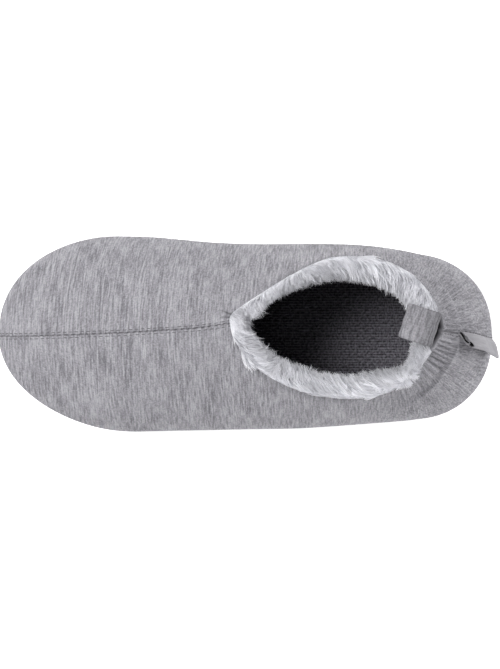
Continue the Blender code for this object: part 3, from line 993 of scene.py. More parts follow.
    def rim_line(self, around: Array) -> Array:
        """The collar line with its back drawn forward and its inner side drawn in beside the throat.

        Args:
            around: Places round the outline.

        Returns:
            x and y of each place.
        """
        turn = math.pi * self.line(np.abs(around), "collar")
        window = np.sin(math.pi * np.clip(turn / self.throat_draw_turn, 0, 1))
        window = np.where(around < 0, window, 0.0)
        line = self.collar(around) + window[:, None] * np.array(self.throat_draw)
        draw = np.where(around > 0, self.back_draw[1], self.back_draw[0])
        line[:, 0] += draw * np.sin(3 * np.clip(math.pi - turn, 0, math.pi / 3))
        return line

    @staticmethod
    def collar_turns(count: int) -> Array:
        """Even steps along the collar, from -1 at the heel over 0 at the throat to 1 at the heel."""
        return (np.arange(count) + 0.5) * 2 / count - 1

    def collar_places(self, count: int) -> Array:
        """Places round the shoe that are evenly spaced along the collar.

        Args:
            count: How many.

        Returns:
            Rising places round the outline.
        """
        turns = self.collar_turns(count)
        fine = np.linspace(0, 1, 2000)
        around = np.interp(np.abs(turns), self.line(fine, "collar"), fine)
        return np.where(turns < 0, -around, around)

    @staticmethod
    def cubic(ends: tuple[Array, ...], t: Array) -> Array:
        """Points of cubic curves.

        Args:
            ends: The four control points of each curve.
            t: Shares of the way along.

        Returns:
            Points by curve and share.
        """
        a, b, c, d = (point[:, None, :] for point in ends)
        t = np.broadcast_to(t, (len(ends[0]), t.shape[-1]))[:, :, None]
        return (1 - t) ** 3 * a + 3 * (1 - t) ** 2 * t * b + 3 * (1 - t) * t * t * c + t**3 * d

    def tuck(self, around: Array, t: Array) -> Array:
        """The part of the upper that turns in under the foot, from the sole's edge to the widest line.

        Args:
            around: Places round the outline.
            t: Shares of the way up.

        Returns:
            Points by place and share.
        """
        widest, edge = self.outline(around), self.outline(around, self.sole_inset)
        foot = with_height(edge, self.sole(self.station(widest), True) + self.gap)
        side = with_height(widest, self.line(np.abs(around), "widest"))
        outward = with_height(widest - edge, 0.0)
        drop = self.tuck_roundness * UP * (side - foot)[:, 2:]
        return self.cubic((foot, foot + self.tuck_roundness * outward, side - drop, side), t)

    def wall_grid(self, around: Array, t: Array) -> Array:
        """Outer face of the upper from its widest line to the collar, with the elastic band drawn in.

        Args:
            around: Places round the outline.
            t: Shares of the way up.

        Returns:
            Points by place and share.
        """
        way = np.abs(around)
        widest, rim = self.outline(around), self.rim_line(around)
        side = with_height(widest, self.line(way, "widest"))
        top = with_height(rim, self.line(way, "rim"))
        inward = unit(rim - widest)
        slope = np.radians(self.line(way, "slope"))
        lean = np.concatenate([inward * np.cos(slope)[:, None], np.sin(slope)[:, None]], axis=1)
        rise = side + UP * self.line(way, "rise")[:, None]
        grid = self.cubic((side, rise, top - lean * self.line(way, "pull")[:, None], top), t)
        depth = below_rim(grid)
        back = ease(way, self.band_start, self.band_start + self.band_fade)[:, None]
        pinch = -self.band_pinch * bump(depth - self.band_height, self.band_pinch_spread)
        below = depth - self.band_height - self.heel_puff_below
        relief = back * (pinch + self.heel_puff * bump(below, self.heel_puff_spread))
        return grid + relief[:, :, None] * grid_normals(grid)


# Sub-assemblies


@dataclass
class Upper:
    """Jersey upper: two halves joined by a vamp seam and a back seam, gathered at the back of the collar."""

    last: BootLast
    loop: PullLoop
    side_columns: int = 290
    tuck_rows: int = 9
    wall_rows: int = 118
    lining_rows: int = 22
    rim_rows: int = 3
    # how much closer the columns stand at the vamp seam, at the back seam and in the band, and where
    crowding: Triple = (7.0, 5.0, 1.5)
    crowding_reach: float = 0.016
    crowding_band: Pair = (0.66, 0.78)
    row_crowding: float = 1.15
    seam_depth: float = 0.0005
    seam_width: float = 0.00036
    seam_mark_width: float = 0.000396
    seam_puff: float = 0.00028
    seam_puff_at: float = 0.0022
    seam_puff_width: float = 0.0016
    gather_pitch: float = 0.0025
    gather_height: float = 0.0009
    gather_shade: float = 0.30
    # waves of the folds' line and of their height along the collar: strength, radians to a metre and shift
    gather_wander: Table = ((1.6, 1 / 0.0093, 0.0), (1.2, 1 / 0.0041, 1.0), (0.8, 1 / 0.0023, 0.0))
    gather_waves: Table = ((0.30, 1 / 0.0061, 0.7), (0.15, 1 / 0.0017, 0.0))
    gather_mean: float = 0.55
    gather_inner: float = 0.55
    gather_lean: float = 40.0
    # depth where the folds start and where they are full, and their fading above the band's lower edge
    gather_drop: Triple = (0.0010, 0.004, 0.003)
    drape_height: float = 0.00015
    drape_pitch: float = 0.0085
    drape_wander: float = 0.6
    drape_drop: Pair = (0.004, 0.022)
    # share of the way up a fold line from the sole, and how far the seam lies towards the outer side there
    vamp_slant: Table = ((0.0, 0.0), (0.30, 0.0022), (0.62, 0.0036), (0.88, 0.0038), (1.0, 0.0024))
    back_slant: Table = ((0.0, 0.0034), (0.30, 0.0034), (0.72, 0.0018), (1.0, 0.0018))
    slant_reach: float = 0.030
    # share of the outline from the back seam, positive on the outer side, and depth of the band's lower edge
    band_edge: Table = (
        (-0.30, 0.0120), (-0.14, 0.0135), (-0.06, 0.0155),
        (0.0, 0.0182), (0.055, 0.0230), (0.30, 0.0240),
    )
    lip_height: float = 0.0018
    lip_width: float = 0.0033
    band_fill: float = 0.9
    slit_width: float = 0.0014
    slit_drop: Pair = (0.0010, 0.0060)
    slit_edge: Pair = (0.001, 0.002)
    slit_lean: Pair = (0.90, 0.50)
    # shade behind the loop: its strength, the share that the rim's edge has, and rows of the lining
    slit_shade: float = 1.5
    slit_shade_edge: float = 0.4
    slit_shade_rows: int = 4
    crease_depth: float = 0.0006
    crease_width: float = 0.0020
    pucker_height: float = 0.0004
    pucker_reach: float = 0.020
    pucker_start: Pair = (0.002, 0.006)
    pucker_drop: float = 0.003
    # folds that fan out from the throat: strength, folds to a full turn and shift
    pucker_fan: Table = ((1.0, 7.0, 0.5), (0.6, 11.0, -0.8))
    # sharp puckers beside the throat, from above: x and y of the start and of the end
    pucker_lines: Table = ((0.0088, -0.0106, 0.0136, -0.0122), (0.0092, -0.0090, 0.0142, -0.0088))
    pucker_width: float = 0.0006
    pucker_fade: float = 0.7
    pucker_shade: float = 0.85
    # places round the outline that count as beside the throat and as the back
    throat_to: float = 0.3
    back_from: float = 0.8
    # place round the collar, share of the soft shadow that the fur throws on the cloth and its width
    hem_shade: Table = (
        (-0.64, 0.00, 0.005), (-0.54, 0.16, 0.005), (-0.42, 0.26, 0.006), (-0.30, 0.30, 0.006),
        (-0.24, 0.00, 0.006), (0.18, 0.00, 0.008), (0.24, 0.26, 0.008), (0.32, 0.30, 0.014),
        (0.50, 0.27, 0.011), (0.60, 0.12, 0.010), (0.66, 0.00, 0.010),
    )
    hem_steps: int = 360
    hem_full: float = 0.15
    hem_pull: float = 0.0007
    hem_width: float = 0.0028
    slack: float = 0.000175
    slack_drop: Pair = (0.004, 0.02)
    # waves of the slack: strength, radians to a metre along x, y and z, and shift
    slack_waves: Table = ((1.0, 61, 47, 0, 0.0), (0.7, 0, -83, 52, 1.3), (0.6, 118, 0, -39, 0.0))
    # x behind which the cloth has the grain of the heel, and before which it has that of the front
    heel_grain: Pair = (-0.090, -0.045)
    lining_low: Triple = (0.05, 0.05, 0.055)
    lining_high: Triple = (0.13, 0.13, 0.14)
    course_turn_x: float = -0.075
    course_turn_radius: float = 0.045
    course_lean: Pair = (0.24, 0.08)
    course_fade: float = 0.06
    # shift of the map on the inner side, so that the two halves aren't mirrored
    inner_shift: float = 1.7
    stitch_from_seam: float = 0.0017
    around: Array = field(init=False)
    bare: Array = field(init=False)
    bare_normal: Array = field(init=False)
    depth: Array = field(init=False)
    face: Array = field(init=False)
    # shade painted on the cloth: in the band's folds, in the puckers and beside the fur
    folds: Array = field(init=False)

    def __post_init__(self) -> None:
        """Work out the outer face, its relief and the shade painted on it, in its folds and beside the fur.
        """
        self.around = self.columns()
        t = 1 - (1 - np.linspace(0, 1, self.wall_rows + 1)) ** self.row_crowding
        tuck = self.last.tuck(self.around, np.linspace(0, 1, self.tuck_rows + 1))
        self.bare = np.concatenate([tuck[:, :-1], self.last.wall_grid(self.around, t)], axis=1)
        for seam, slant in ((Seam.VAMP, self.vamp_slant), (Seam.BACK, self.back_slant)):
            self.slide(seam, np.array(slant))
        self.bare_normal = grid_normals(self.bare)
        self.depth = below_rim(self.bare)
        gathers, shade = self.gathers()
        puckers = self.sharp_puckers()
        height = self.relief() + gathers - self.pucker_height * puckers
        self.face = self.bare + height[:, :, None] * self.bare_normal
        # painted shade, stored below as the fold mark
        self.folds = shade + self.pucker_shade * puckers + self.hem_shadow()

    def columns(self) -> Array:
        """Places of the columns round the shoe, closer together beside the two seams.

        Returns:
            Places round the outline.
        """
        fine = np.linspace(0, 1, 4000)
        vamp, back, band = self.crowding
        density = 1 + vamp * bump(fine, self.crowding_reach) + back * bump(1 - fine, self.crowding_reach)
        density += band * ease(fine, *self.crowding_band)
        share = np.concatenate([[0], np.cumsum(density[:-1])])
        half = np.interp(np.linspace(0, 1, self.side_columns + 1), share / share[-1], fine)
        return np.concatenate([-half[::-1], half[1:-1]])

    def column(self, seam: Seam) -> int:
        """The column that a seam runs along."""
        return int(np.abs(self.around - seam.value).argmin())

    def slide(self, seam: Seam, slant: Array) -> None:
        """Move the columns along the rows until a seam lies where it was sewn; the surface stays.

        Args:
            seam: Which seam.
            slant: Rows of share up the fold line and distance towards the outer side.
        """
        depth = below_rim(self.bare)
        start = self.column(seam)
        share = 1 - depth[start] / depth[start, 0]
        sign = 1 if seam is Seam.VAMP else -1
        columns = (np.arange(-self.side_columns // 2, self.side_columns // 2 + 1) + start) % len(self.bare)
        for row in range(self.bare.shape[1]):
            line = self.bare[columns, row]
            along = run_lengths(line)
            along = along - along[len(columns) // 2]
            offset = sign * np.interp(share[row], slant[:, 0], slant[:, 1])
            reach = min(self.slant_reach, 0.8 * along[-1], -0.8 * along[0])
            moved = along + offset * (1 - ease(np.abs(along), 0.1 * reach, reach))
            for axis in range(3):
                self.bare[columns, row, axis] = np.interp(moved, along, line[:, axis])

    def from_seam(self, seam: Seam) -> Array:
        """Distance of each point of the face from a seam, along its row.

        Args:
            seam: Which seam.

        Returns:
            One value for each point of the face.
        """
        start = self.column(seam)
        turned = np.roll(self.bare, -start, axis=0)
        steps = np.linalg.norm(np.roll(turned, -1, axis=0) - turned, axis=2)
        one_way = np.concatenate([np.zeros((1, steps.shape[1])), np.cumsum(steps, axis=0)[:-1]])
        whole = one_way[-1] + steps[-1]
        return np.roll(np.minimum(one_way, whole - one_way), start, axis=0)

    def relief(self) -> Array:
        """How far seams, puckers, slit, hem and slack move the cloth, for each point of the face.

        Returns:
            One value for each point of the face.
        """
        height = self.puckers() + self.slit_width * self.slit()
        height -= self.hem_pull * bump(self.depth, self.hem_width)
        for seam in Seam:
            away = self.from_seam(seam)
            height -= self.seam_depth * bump(away, self.seam_width)
            height += self.seam_puff * bump(away - self.seam_puff_at, self.seam_puff_width)
        soft = sum(row[0] * np.sin(self.bare @ np.array(row[1:4]) + row[4]) for row in self.slack_waves)
        return height + self.slack * soft * ease(self.depth, *self.slack_drop)

    def gathers(self) -> tuple[Array, Array]:
        """Fine folds that the elastic draws into the band, the lip at its lower edge and softer folds below.

        Returns:
            How far each point of the face moves, and the shade in the folds.
        """
        last, depth, rim = self.last, self.depth, self.bare[:, -1]
        steps = np.linalg.norm(np.roll(rim, -1, axis=0) - rim, axis=1)
        along = np.concatenate([[0], np.cumsum(steps)[:-1]])[:, None]
        wander = waves(along, self.gather_wander)
        uneven = self.gather_mean + waves(along, self.gather_waves)
        uneven = uneven * np.where(self.around > 0, 1.0, self.gather_inner)[:, None]
        turn = 2 * math.pi * along / self.gather_pitch + wander + self.gather_lean * depth
        valley = 0.5 - 0.5 * np.cos(turn)
        fold = uneven * (1 - 2 * valley**2)
        drape = np.cos(2 * math.pi * along / self.drape_pitch + self.drape_wander * wander)
        back = ease(np.abs(self.around), last.band_start, last.band_start + last.band_fade)[:, None]
        edge = np.array(self.band_edge)
        low = np.interp(np.sign(self.around) * (1 - np.abs(self.around)), edge[:, 0], edge[:, 1])[:, None]
        start, full, fade = self.gather_drop
        band = ease(depth, start, full) * (1 - ease(depth, low - fade, low))
        near, far = self.drape_drop
        below = ease(depth, low, low + near) * (1 - ease(depth, low + near, low + far))
        lip = self.lip_height * bump(depth - low - self.lip_width, self.lip_width)
        lip -= self.crease_depth * bump(depth - low + self.crease_width, self.crease_width)
        lip += self.band_fill * last.band_pinch * bump(depth - last.band_height, last.band_pinch_spread)
        height = back * (self.gather_height * band * fold + self.drape_height * below * drape + lip)
        return height, self.gather_shade * back * band * uneven * valley**4

    def hem_shadow(self) -> Array:
        """Soft shadow beside the fur, as a share, for each point of the face.

        Returns:
            One value for each point of the face.
        """
        places = self.last.collar_places(self.hem_steps)
        turn = np.interp(self.around, places, np.linspace(-1, 1, self.hem_steps))
        table = np.array(self.hem_shade)
        share, width = (np.interp(turn, table[:, 0], table[:, k])[:, None] for k in (1, 2))
        return share * (1 - ease(self.depth, self.hem_full * width, width))

    def slit(self) -> Array:
        """How far the collar stands off behind the pull loop, as a share, for each point of the face.

        Returns:
            One value for each point of the face.
        """
        _, beside = self.loop.place(self.bare)
        half = self.loop.width / 2
        (inside, outside), (mean, lean) = self.slit_edge, self.slit_lean
        near = (1 - ease(np.abs(beside), half - inside, half + outside)) * (mean - lean * beside / half)
        near = np.where(np.abs(self.around)[:, None] > self.back_from, near, 0.0)
        return near * (1 - ease(self.depth, *self.slit_drop))

    def sharp_puckers(self) -> Array:
        """Short sharp puckers beside the throat, as a share, for each point of the face.

        Returns:
            One value for each point of the face.
        """
        share = np.zeros(self.bare.shape[:2])
        for line in self.pucker_lines:
            start, end = np.array(line[:2]), np.array(line[2:])
            way = end - start
            along = np.clip((self.bare[..., :2] - start) @ way / (way @ way), 0, 1)
            away = np.linalg.norm(self.bare[..., :2] - start - along[..., None] * way, axis=2)
            share += bump(away, self.pucker_width) * (1 - self.pucker_fade * along)
        return np.where(np.abs(self.around)[:, None] < self.throat_to, share, 0.0)

    def puckers(self) -> Array:
        """Small folds that fan out from the throat.

        Returns:
            One value for each point of the face.
        """
        away = self.bare - self.bare[self.column(Seam.VAMP), -1]
        angle = np.arctan2(away[..., 1], away[..., 0])
        reach = np.linalg.norm(away, axis=2)
        fan = sum(part * np.cos(pace * angle + shift) for part, pace, shift in self.pucker_fan)
        window = 1 - ease(reach, 0.5 * self.pucker_reach, self.pucker_reach)
        window = ease(reach, *self.pucker_start) * window
        return self.pucker_height * fan * window * ease(self.depth, 0.0, self.pucker_drop)

    def cloth_map(self) -> tuple[Array, Array]:
        """The knit's own directions: along the foot, and across it from the vamp seam down each side.

        Returns:
            Two coordinates, in metres, for each point of the face.
        """
        x, y, z = np.moveaxis(self.face, 2, 0)
        out = np.abs(y)
        turn = self.course_turn_radius * np.arctan2(self.course_turn_x - x, np.maximum(out, 1e-6))
        along = np.where(x > self.course_turn_x, x - self.course_turn_x, -turn)
        lean = np.where(self.around > 0, self.course_lean[1], self.course_lean[0])[:, None]
        front = ease(x, self.course_turn_x, self.course_turn_x + self.course_fade)
        along = along + lean * out**2 / (2 * self.last.widths[-1][1]) * front
        side = np.where(self.around > 0, 0.0, self.inner_shift)[:, None]
        return along + side, out - z + side

    def build(self) -> Piece:
        """The upper as one closed wall: jersey outside, fleece inside.

        Returns:
            The finished piece.
        """
        half = self.last.wall / 2
        rim, rim_normal = self.face[:, -1], grid_normals(self.face)[:, -1]
        rise = unit(self.face[:, -1] - self.face[:, -2])
        turns = np.linspace(0, math.pi, self.rim_rows + 2)[1:-1]
        roll = [rim + half * (rise * math.sin(a) - rim_normal * (1 - math.cos(a))) for a in turns]
        rows = np.linspace(self.face.shape[1] - 1, 0, self.lining_rows).round().astype(int)
        inner = self.bare[:, rows] - self.last.wall * self.bare_normal[:, rows]
        maker = MeshMaker()
        outside, edge, inside = (maker.add(grid) for grid in (self.face, np.stack(roll, axis=1), inner))
        maker.skin(outside, (True, False), 0)
        maker.skin(np.concatenate([outside[:, -1:], edge], axis=1), (True, False), 0)
        maker.skin(np.concatenate([edge[:, -1:], inside, outside[:, :1]], axis=1), (True, False), 1)
        lining = Fleece(name="lining_fleece", low=self.lining_low, high=self.lining_high)
        piece = maker.finish("jersey_upper", [Jersey().material(), lining.material()])
        rest = (0, maker.count - outside.size)
        crease = sum(bump(self.from_seam(seam), self.seam_mark_width) for seam in Seam)
        heel = 1 - ease(self.face[..., 0], *self.heel_grain)
        # painted shade in the slit behind the loop: on the rim's edge and on the lining's top rows
        behind = np.minimum(self.slit_shade * self.slit()[:, -1:], 1.0)
        edge_painted_shade = behind * np.linspace(self.slit_shade_edge, 1, len(turns))
        lining_painted_shade = behind * (np.arange(len(rows)) < self.slit_shade_rows)
        mark(piece, "crease", np.pad(crease.ravel(), rest))
        mark(piece, "heel", np.pad(heel.ravel(), rest))
        # the fold mark carries all the shade painted on the upper
        folds = [part.ravel() for part in (self.folds, edge_painted_shade, lining_painted_shade)]
        mark(piece, "fold", np.concatenate(folds))
        map_cloth(piece, *(np.pad(way.ravel(), rest) for way in self.cloth_map()))
        return settle(piece, Slot.JERSEY, "upper")

    def seam_row(self, seam: Seam, side: int, first: int) -> Array:
        """Points of a row of stitches beside a seam.

        Args:
            seam: Which seam.
            side: 1 or -1 for the two sides of the seam.
            first: Row of the face where the stitches start.

        Returns:
            The points, from the sole up to the collar.
        """
        turned = np.roll(self.face, -self.column(seam), axis=0)[::side]
        if side < 0:
            turned = np.roll(turned, 1, axis=0)
        count = self.side_columns // 2
        points = []
        for row in range(first, turned.shape[1] - 1):
            line = turned[:count, row]
            away = run_lengths(line)
            points.append([np.interp(self.stitch_from_seam, away, line[:, axis]) for axis in range(3)])
        return np.array(points)


@dataclass
class Stitching:
    """Rows of stitches on the upper."""

    upper: Upper
    pitch: float = 0.0034
    length: float = 0.0026
    thickness: float = 0.00046

    def tree(self) -> bpy.types.NodeTree:
        """A tree that sets stitches along the lines of a mesh.

        Returns:
            The tree.
        """
        graph, source = geometry_tree(
            "stitches",
            {
                "Pitch": ("NodeSocketFloat", self.pitch),
                "Length": ("NodeSocketFloat", self.length),
                "Thickness": ("NodeSocketFloat", self.thickness),
                "Material": ("NodeSocketMaterial", None),
            },
        )
        line = graph.node("GeometryNodeMeshToCurve", None, {0: source})
        ends = {"Curve": line, "Length": source.other("Pitch")}
        even = graph.node("GeometryNodeResampleCurve", {"mode": "LENGTH"}, ends)
        stitch = graph.node("GeometryNodeMeshUVSphere", None, {"Segments": 6, "Rings": 4, "Radius": 0.5})
        tangent = graph.node("GeometryNodeInputTangent")
        turned = graph.node("FunctionNodeAlignRotationToVector", {"axis": "X"}, {"Vector": tangent})
        size = graph.place(source.other("Length"), source.other("Thickness"), source.other("Thickness"))
        ends = {"Points": even, "Instance": stitch, "Rotation": turned, "Scale": size}
        placed = graph.node("GeometryNodeInstanceOnPoints", None, ends)
        return end_tree(graph, placed, source.other("Material"))

    def build(self) -> Piece:
        """All rows of stitches as one mesh.

        Returns:
            The finished piece.
        """
        upper = self.upper
        rows = [upper.seam_row(seam, side, upper.tuck_rows) for seam in Seam for side in (1, -1)]
        maker = MeshMaker()
        numbers = [maker.add(row) for row in rows]
        mesh = bpy.data.meshes.new("stitch_lines")
        edges = [(int(a), int(b)) for line in numbers for a, b in zip(line, line[1:])]
        mesh.from_pydata(np.concatenate(maker.points).tolist(), edges, [])
        carrier = bpy.data.objects.new("stitch_lines", mesh)
        bpy.context.scene.collection.objects.link(carrier)
        sizes = {"Pitch": self.pitch, "Length": self.length, "Thickness": self.thickness}
        piece = grown(carrier, self.tree(), "seam_stitches", {**sizes, "Material": Thread().material()})
        return settle(piece, Slot.JERSEY)


@dataclass(frozen=True)
class Growth:
    """One growth of fur strands on the ring.

    Start and end are the rows of the ring's section between which the growth sets in and stops. Strands are
    their number, length is a share of the fur's, and lift, sweep, spill and stray turn them away from the
    ring, along it, over the cloth and at random.
    """

    name: str
    start: Pair
    end: Pair
    strands: int
    length: float
    lift: float
    sweep: float
    spill: float
    stray: float
    seed: int


@dataclass
class FurCollar:
    """Fur lining that shows round the collar: a soft ring and the combed strands that grow from it."""

    last: BootLast
    loop: PullLoop
    inner_centre_x: float = -0.0438
    inner_half: Pair = (0.0420, 0.0255)
    depth: float = 0.022
    clearance: float = 0.0010
    over_rim: float = -0.0010
    crest: float = 0.0030
    # the outer back corner, where the fur lies flatter
    corner_at: float = 0.80
    corner_spread: float = 0.07
    corner_slim: float = 0.40
    # wisps that fall out over the cloth: place round the collar, spread and strength
    wisps: Table = ((0.770, 0.042, 6.0), (0.158, 0.006, 5.0))
    columns: int = 180
    section_points: int = 52
    # share of the way from the cloth to the inner edge, and height over the rim
    section: Table = (
        (0.22, 0.0026), (0.45, 0.0026), (0.64, 0.0006),
        (0.74, -0.0050), (0.74, -0.0130), (0.60, -0.0200),
    )
    # rows of the section along the wall, as shares of the depth
    outer_rows: tuple[float, ...] = (1.0, 0.6, 0.25, 0.0)
    strand_length: float = 0.0062
    strand_width: float = 0.00046
    tuft_spacing: float = 0.0017
    tuft_pull: float = 0.50
    # points of a section that the comb follows, and those on the two sides of its crest
    chord: int = 3
    crest_points: tuple[int, int] = (24, 34)
    # unevenness of the locks: waves to a metre, their strength, and strength of a lock's own turn
    mood_scale: float = 150.0
    mood: float = 0.9
    lock_turn: float = 0.24
    # a strand's own roll, the range of its growth, and how much of its tone comes from its lock
    roll: float = 0.9
    growth_range: Pair = (0.72, 1.04)
    lock_share: float = 0.6
    # middle and end of the curve of a strand of length 1, and how much it tapers
    bend: Table = ((0.0, 0.0, 0.6), (0.28, 0.0, 0.95))
    taper: float = 0.85
    sweep_in: float = 0.30
    sweep_stretch: float = 0.36
    # waves of sweep, length and tufts over the cloth: strength, radians to half the collar and shift
    sweep_waves: Table = ((0.18, 21, 0.0), (0.12, 37, 1.0))
    length_waves: Table = ((0.06, 47, 2.0),)
    spill_waves: Table = ((0.4, 53, 0.0), (0.32, 89, 2.0), (0.24, 141, 0.4))
    spill_mean: float = 0.45
    loop_room: float = 0.004
    # place round the collar, from the heel over the throat to the heel, length of the fur and its sweep
    pelt: Table = (
        (-1.000, 1.05, -0.80), (-0.850, 1.15, -1.80), (-0.725, 1.05, -2.20), (-0.625, 1.25, -2.10),
        (-0.560, 1.25, -1.90), (-0.480, 1.20, -1.60), (-0.410, 1.05, -0.90), (-0.350, 1.05, 0.20),
        (-0.275, 0.90, 1.20), (-0.175, 1.10, 1.30), (-0.125, 1.30, 1.00), (-0.075, 1.25, 0.60),
        (-0.030, 1.00, 0.30), (0.010, 0.90, 1.00), (0.040, 0.85, 2.60), (0.075, 0.75, 3.00),
        (0.125, 0.85, 2.60), (0.165, 1.15, 2.00), (0.200, 1.25, 1.60), (0.250, 1.20, 0.80),
        (0.300, 1.35, -0.50), (0.350, 1.30, -1.60), (0.450, 1.15, -2.10), (0.550, 1.15, -2.00),
        (0.650, 1.20, -1.60), (0.725, 1.00, -0.60), (0.775, 0.80, 0.40), (0.825, 0.70, 0.80),
        (0.875, 0.90, 0.60), (1.000, 1.05, 0.00),
    )
    # name, rows where it sets in and stops, strands, length, lift, sweep, spill, stray and seed
    growths: tuple[Growth, ...] = (
        Growth("fur_over_rim", (5.6, 6.2), (8.8, 9.6), 9600, 1.0, 0.30, 0.95, 0.0, 0.11, 11),
        Growth("fur_inside", (8.2, 9.0), (11.0, 11.8), 9400, 1.08, 0.75, 0.20, 0.0, 0.16, 23),
        Growth("fur_edge", (5.3, 5.5), (6.2, 6.8), 6500, 0.80, 0.20, 1.30, 0.44, 0.18, 37),
    )

    @property
    def turn(self) -> Array:
        """Places of the ring's columns along the collar."""
        return self.last.collar_turns(self.columns)

    def ring(self) -> Array:
        """Points of the ring, by place round the collar and by section.

        Returns:
            The points.
        """
        places = self.last.collar_places(self.columns)
        wall = self.last.wall_grid(places, np.linspace(0, 1, 120))
        normal, depth = grid_normals(wall), below_rim(wall)
        rim, rim_normal = wall[:, -1], normal[:, -1]
        inner = with_height(self.last.collar(places, self.inner_centre_x, self.inner_half), rim[:, 2])
        clear, gap = self.last.wall + self.clearance, self.last.gap
        rows = []
        for share in self.outer_rows:
            down = share * self.depth + gap
            lines = zip(depth, wall - clear * normal)
            rows.append([[np.interp(down, d[::-1], p[::-1, k]) for k in range(3)] for d, p in lines])
        rows.append(rim - clear * rim_normal + 2 * gap * UP)
        rows.append(rim + self.over_rim * rim_normal + 3 * gap * UP)
        rows.append(rim + 0.5 * self.over_rim * rim_normal + 0.7 * self.crest * UP)
        slim = (1 - self.corner_slim * bump(self.turn - self.corner_at, self.corner_spread))[:, None]
        rows += [rim + slim * inward * (inner - rim) + lift * UP for inward, lift in self.section]
        ring = self.rounded(np.stack([np.array(row) for row in rows], axis=1))
        ring[..., 2] = np.minimum(ring[..., 2], self.loop.bed(ring))
        return ring

    def rounded(self, coarse: Array) -> Array:
        """The coarse sections as smooth closed curves through their points.

        Args:
            coarse: Coarse points of the sections.

        Returns:
            Points of the curves.
        """
        count = coarse.shape[1]
        at = np.linspace(0, count, self.section_points, endpoint=False)
        i = np.floor(at).astype(int)
        t = (at - i)[None, :, None]
        a, b, c, d = (coarse[:, (i + k) % count] for k in (-1, 0, 1, 2))
        square, cube = 2 * a - 5 * b + 4 * c - d, 3 * b - a - 3 * c + d
        return 0.5 * (2 * b + (c - a) * t + square * t**2 + cube * t**3)

    def tree(self) -> bpy.types.NodeTree:
        """A tree that grows bent, tapering strands along the combed direction, drawn together in tufts.

        Returns:
            The tree.
        """
        graph, source = geometry_tree(
            "fur_strands",
            {
                "Density": ("NodeSocketFloat", 1.0),
                "Tufts": ("NodeSocketFloat", 1.0),
                "Pull": ("NodeSocketFloat", self.tuft_pull),
                "Length": ("NodeSocketFloat", self.strand_length),
                "Width": ("NodeSocketFloat", self.strand_width),
                "Stray": ("NodeSocketFloat", 0.1),
                "Seed": ("NodeSocketInt", 1),
                "Material": ("NodeSocketMaterial", None),
            },
        )
        number, vector = {"data_type": "FLOAT"}, {"data_type": "FLOAT_VECTOR"}
        cover = graph.node("GeometryNodeInputNamedAttribute", number, {"Name": "cover"})
        comb = graph.node("GeometryNodeInputNamedAttribute", vector, {"Name": "comb"})
        stretch = graph.node("GeometryNodeInputNamedAttribute", number, {"Name": "stretch"})
        spread = {"Mesh": source, "Seed": source.other("Seed")}
        points, tufts = (
            graph.node("GeometryNodeDistributePointsOnFaces", None, {**spread, "Density": cover * density})
            for density in (source.other("Density"), source.other("Tufts"))
        )
        here = graph.node("GeometryNodeInputPosition")
        nearest = graph.node("GeometryNodeSampleNearest", {"domain": "POINT"}, {0: tufts})
        found = {"Geometry": tufts, "Value": here, "Index": nearest}
        tuft_place = graph.node("GeometryNodeSampleIndex", vector, found)
        tuft_comb = graph.node("GeometryNodeSampleIndex", vector, {**found, "Value": comb})
        reach = graph.arrow("SCALE", tuft_comb, Scale=source.other("Length"))
        tip = graph.arrow("SUBTRACT", graph.arrow("ADD", tuft_place, reach), here)
        ends = {"Vector": tuft_place, "Scale": self.mood_scale, "Detail": 1.0}
        mood = graph.node("ShaderNodeTexNoise", None, ends, 1)
        mood = graph.arrow("SCALE", graph.arrow("SUBTRACT", mood, (0.5,) * 3), Scale=self.mood)
        ends = {"Min": (-self.lock_turn,) * 3, "Max": (self.lock_turn,) * 3, "ID": nearest, "Seed": 6}
        mood = graph.arrow("ADD", mood, graph.node("FunctionNodeRandomValue", vector, ends))
        ends = {"Min": (-1.0,) * 3, "Max": (1.0,) * 3, "Seed": 5}
        stray = graph.node("FunctionNodeRandomValue", vector, ends)
        stray = graph.arrow("SCALE", stray, Scale=source.other("Stray"))
        pulled = graph.arrow("SCALE", graph.arrow("NORMALIZE", tip), Scale=source.other("Pull"))
        own = graph.arrow("SCALE", comb, Scale=1.0 - source.other("Pull"))
        lean = graph.arrow("ADD", graph.arrow("ADD", pulled, own), graph.arrow("ADD", mood, stray))
        turned = graph.node("FunctionNodeAlignRotationToVector", {"axis": "Z"}, {"Vector": lean})
        down = graph.arrow("SCALE", points.other("Normal"), Scale=-1.0)
        hugging = {"Rotation": turned, "Vector": down}
        turned = graph.node("FunctionNodeAlignRotationToVector", {"axis": "X", "pivot_axis": "Z"}, hugging)
        roll = graph.chance(-self.roll, self.roll, 9)
        spin = graph.node("FunctionNodeAxisAngleToRotation", None, {"Axis": (0.0, 0.0, 1.0), "Angle": roll})
        turned = graph.node("FunctionNodeRotateRotation", {"rotation_space": "LOCAL"}, {0: turned, 1: spin})
        long = graph.chance(*self.growth_range, 3) * stretch * source.other("Length")
        shade = graph.chance(0.0, 1.0, 4) * (1 - self.lock_share)
        shade = shade + graph.chance(0.0, 1.0, 8, nearest) * self.lock_share
        ends = {0: points, "Name": "shade", "Value": shade}
        points = graph.node("GeometryNodeStoreNamedAttribute", {**number, "domain": "POINT"}, ends)
        ends = {"Points": points, "Instance": self.strand(graph, source), "Rotation": turned}
        ends["Scale"] = graph.place(long, long, long)
        placed = graph.node("GeometryNodeInstanceOnPoints", None, ends)
        return end_tree(graph, placed, source.other("Material"))

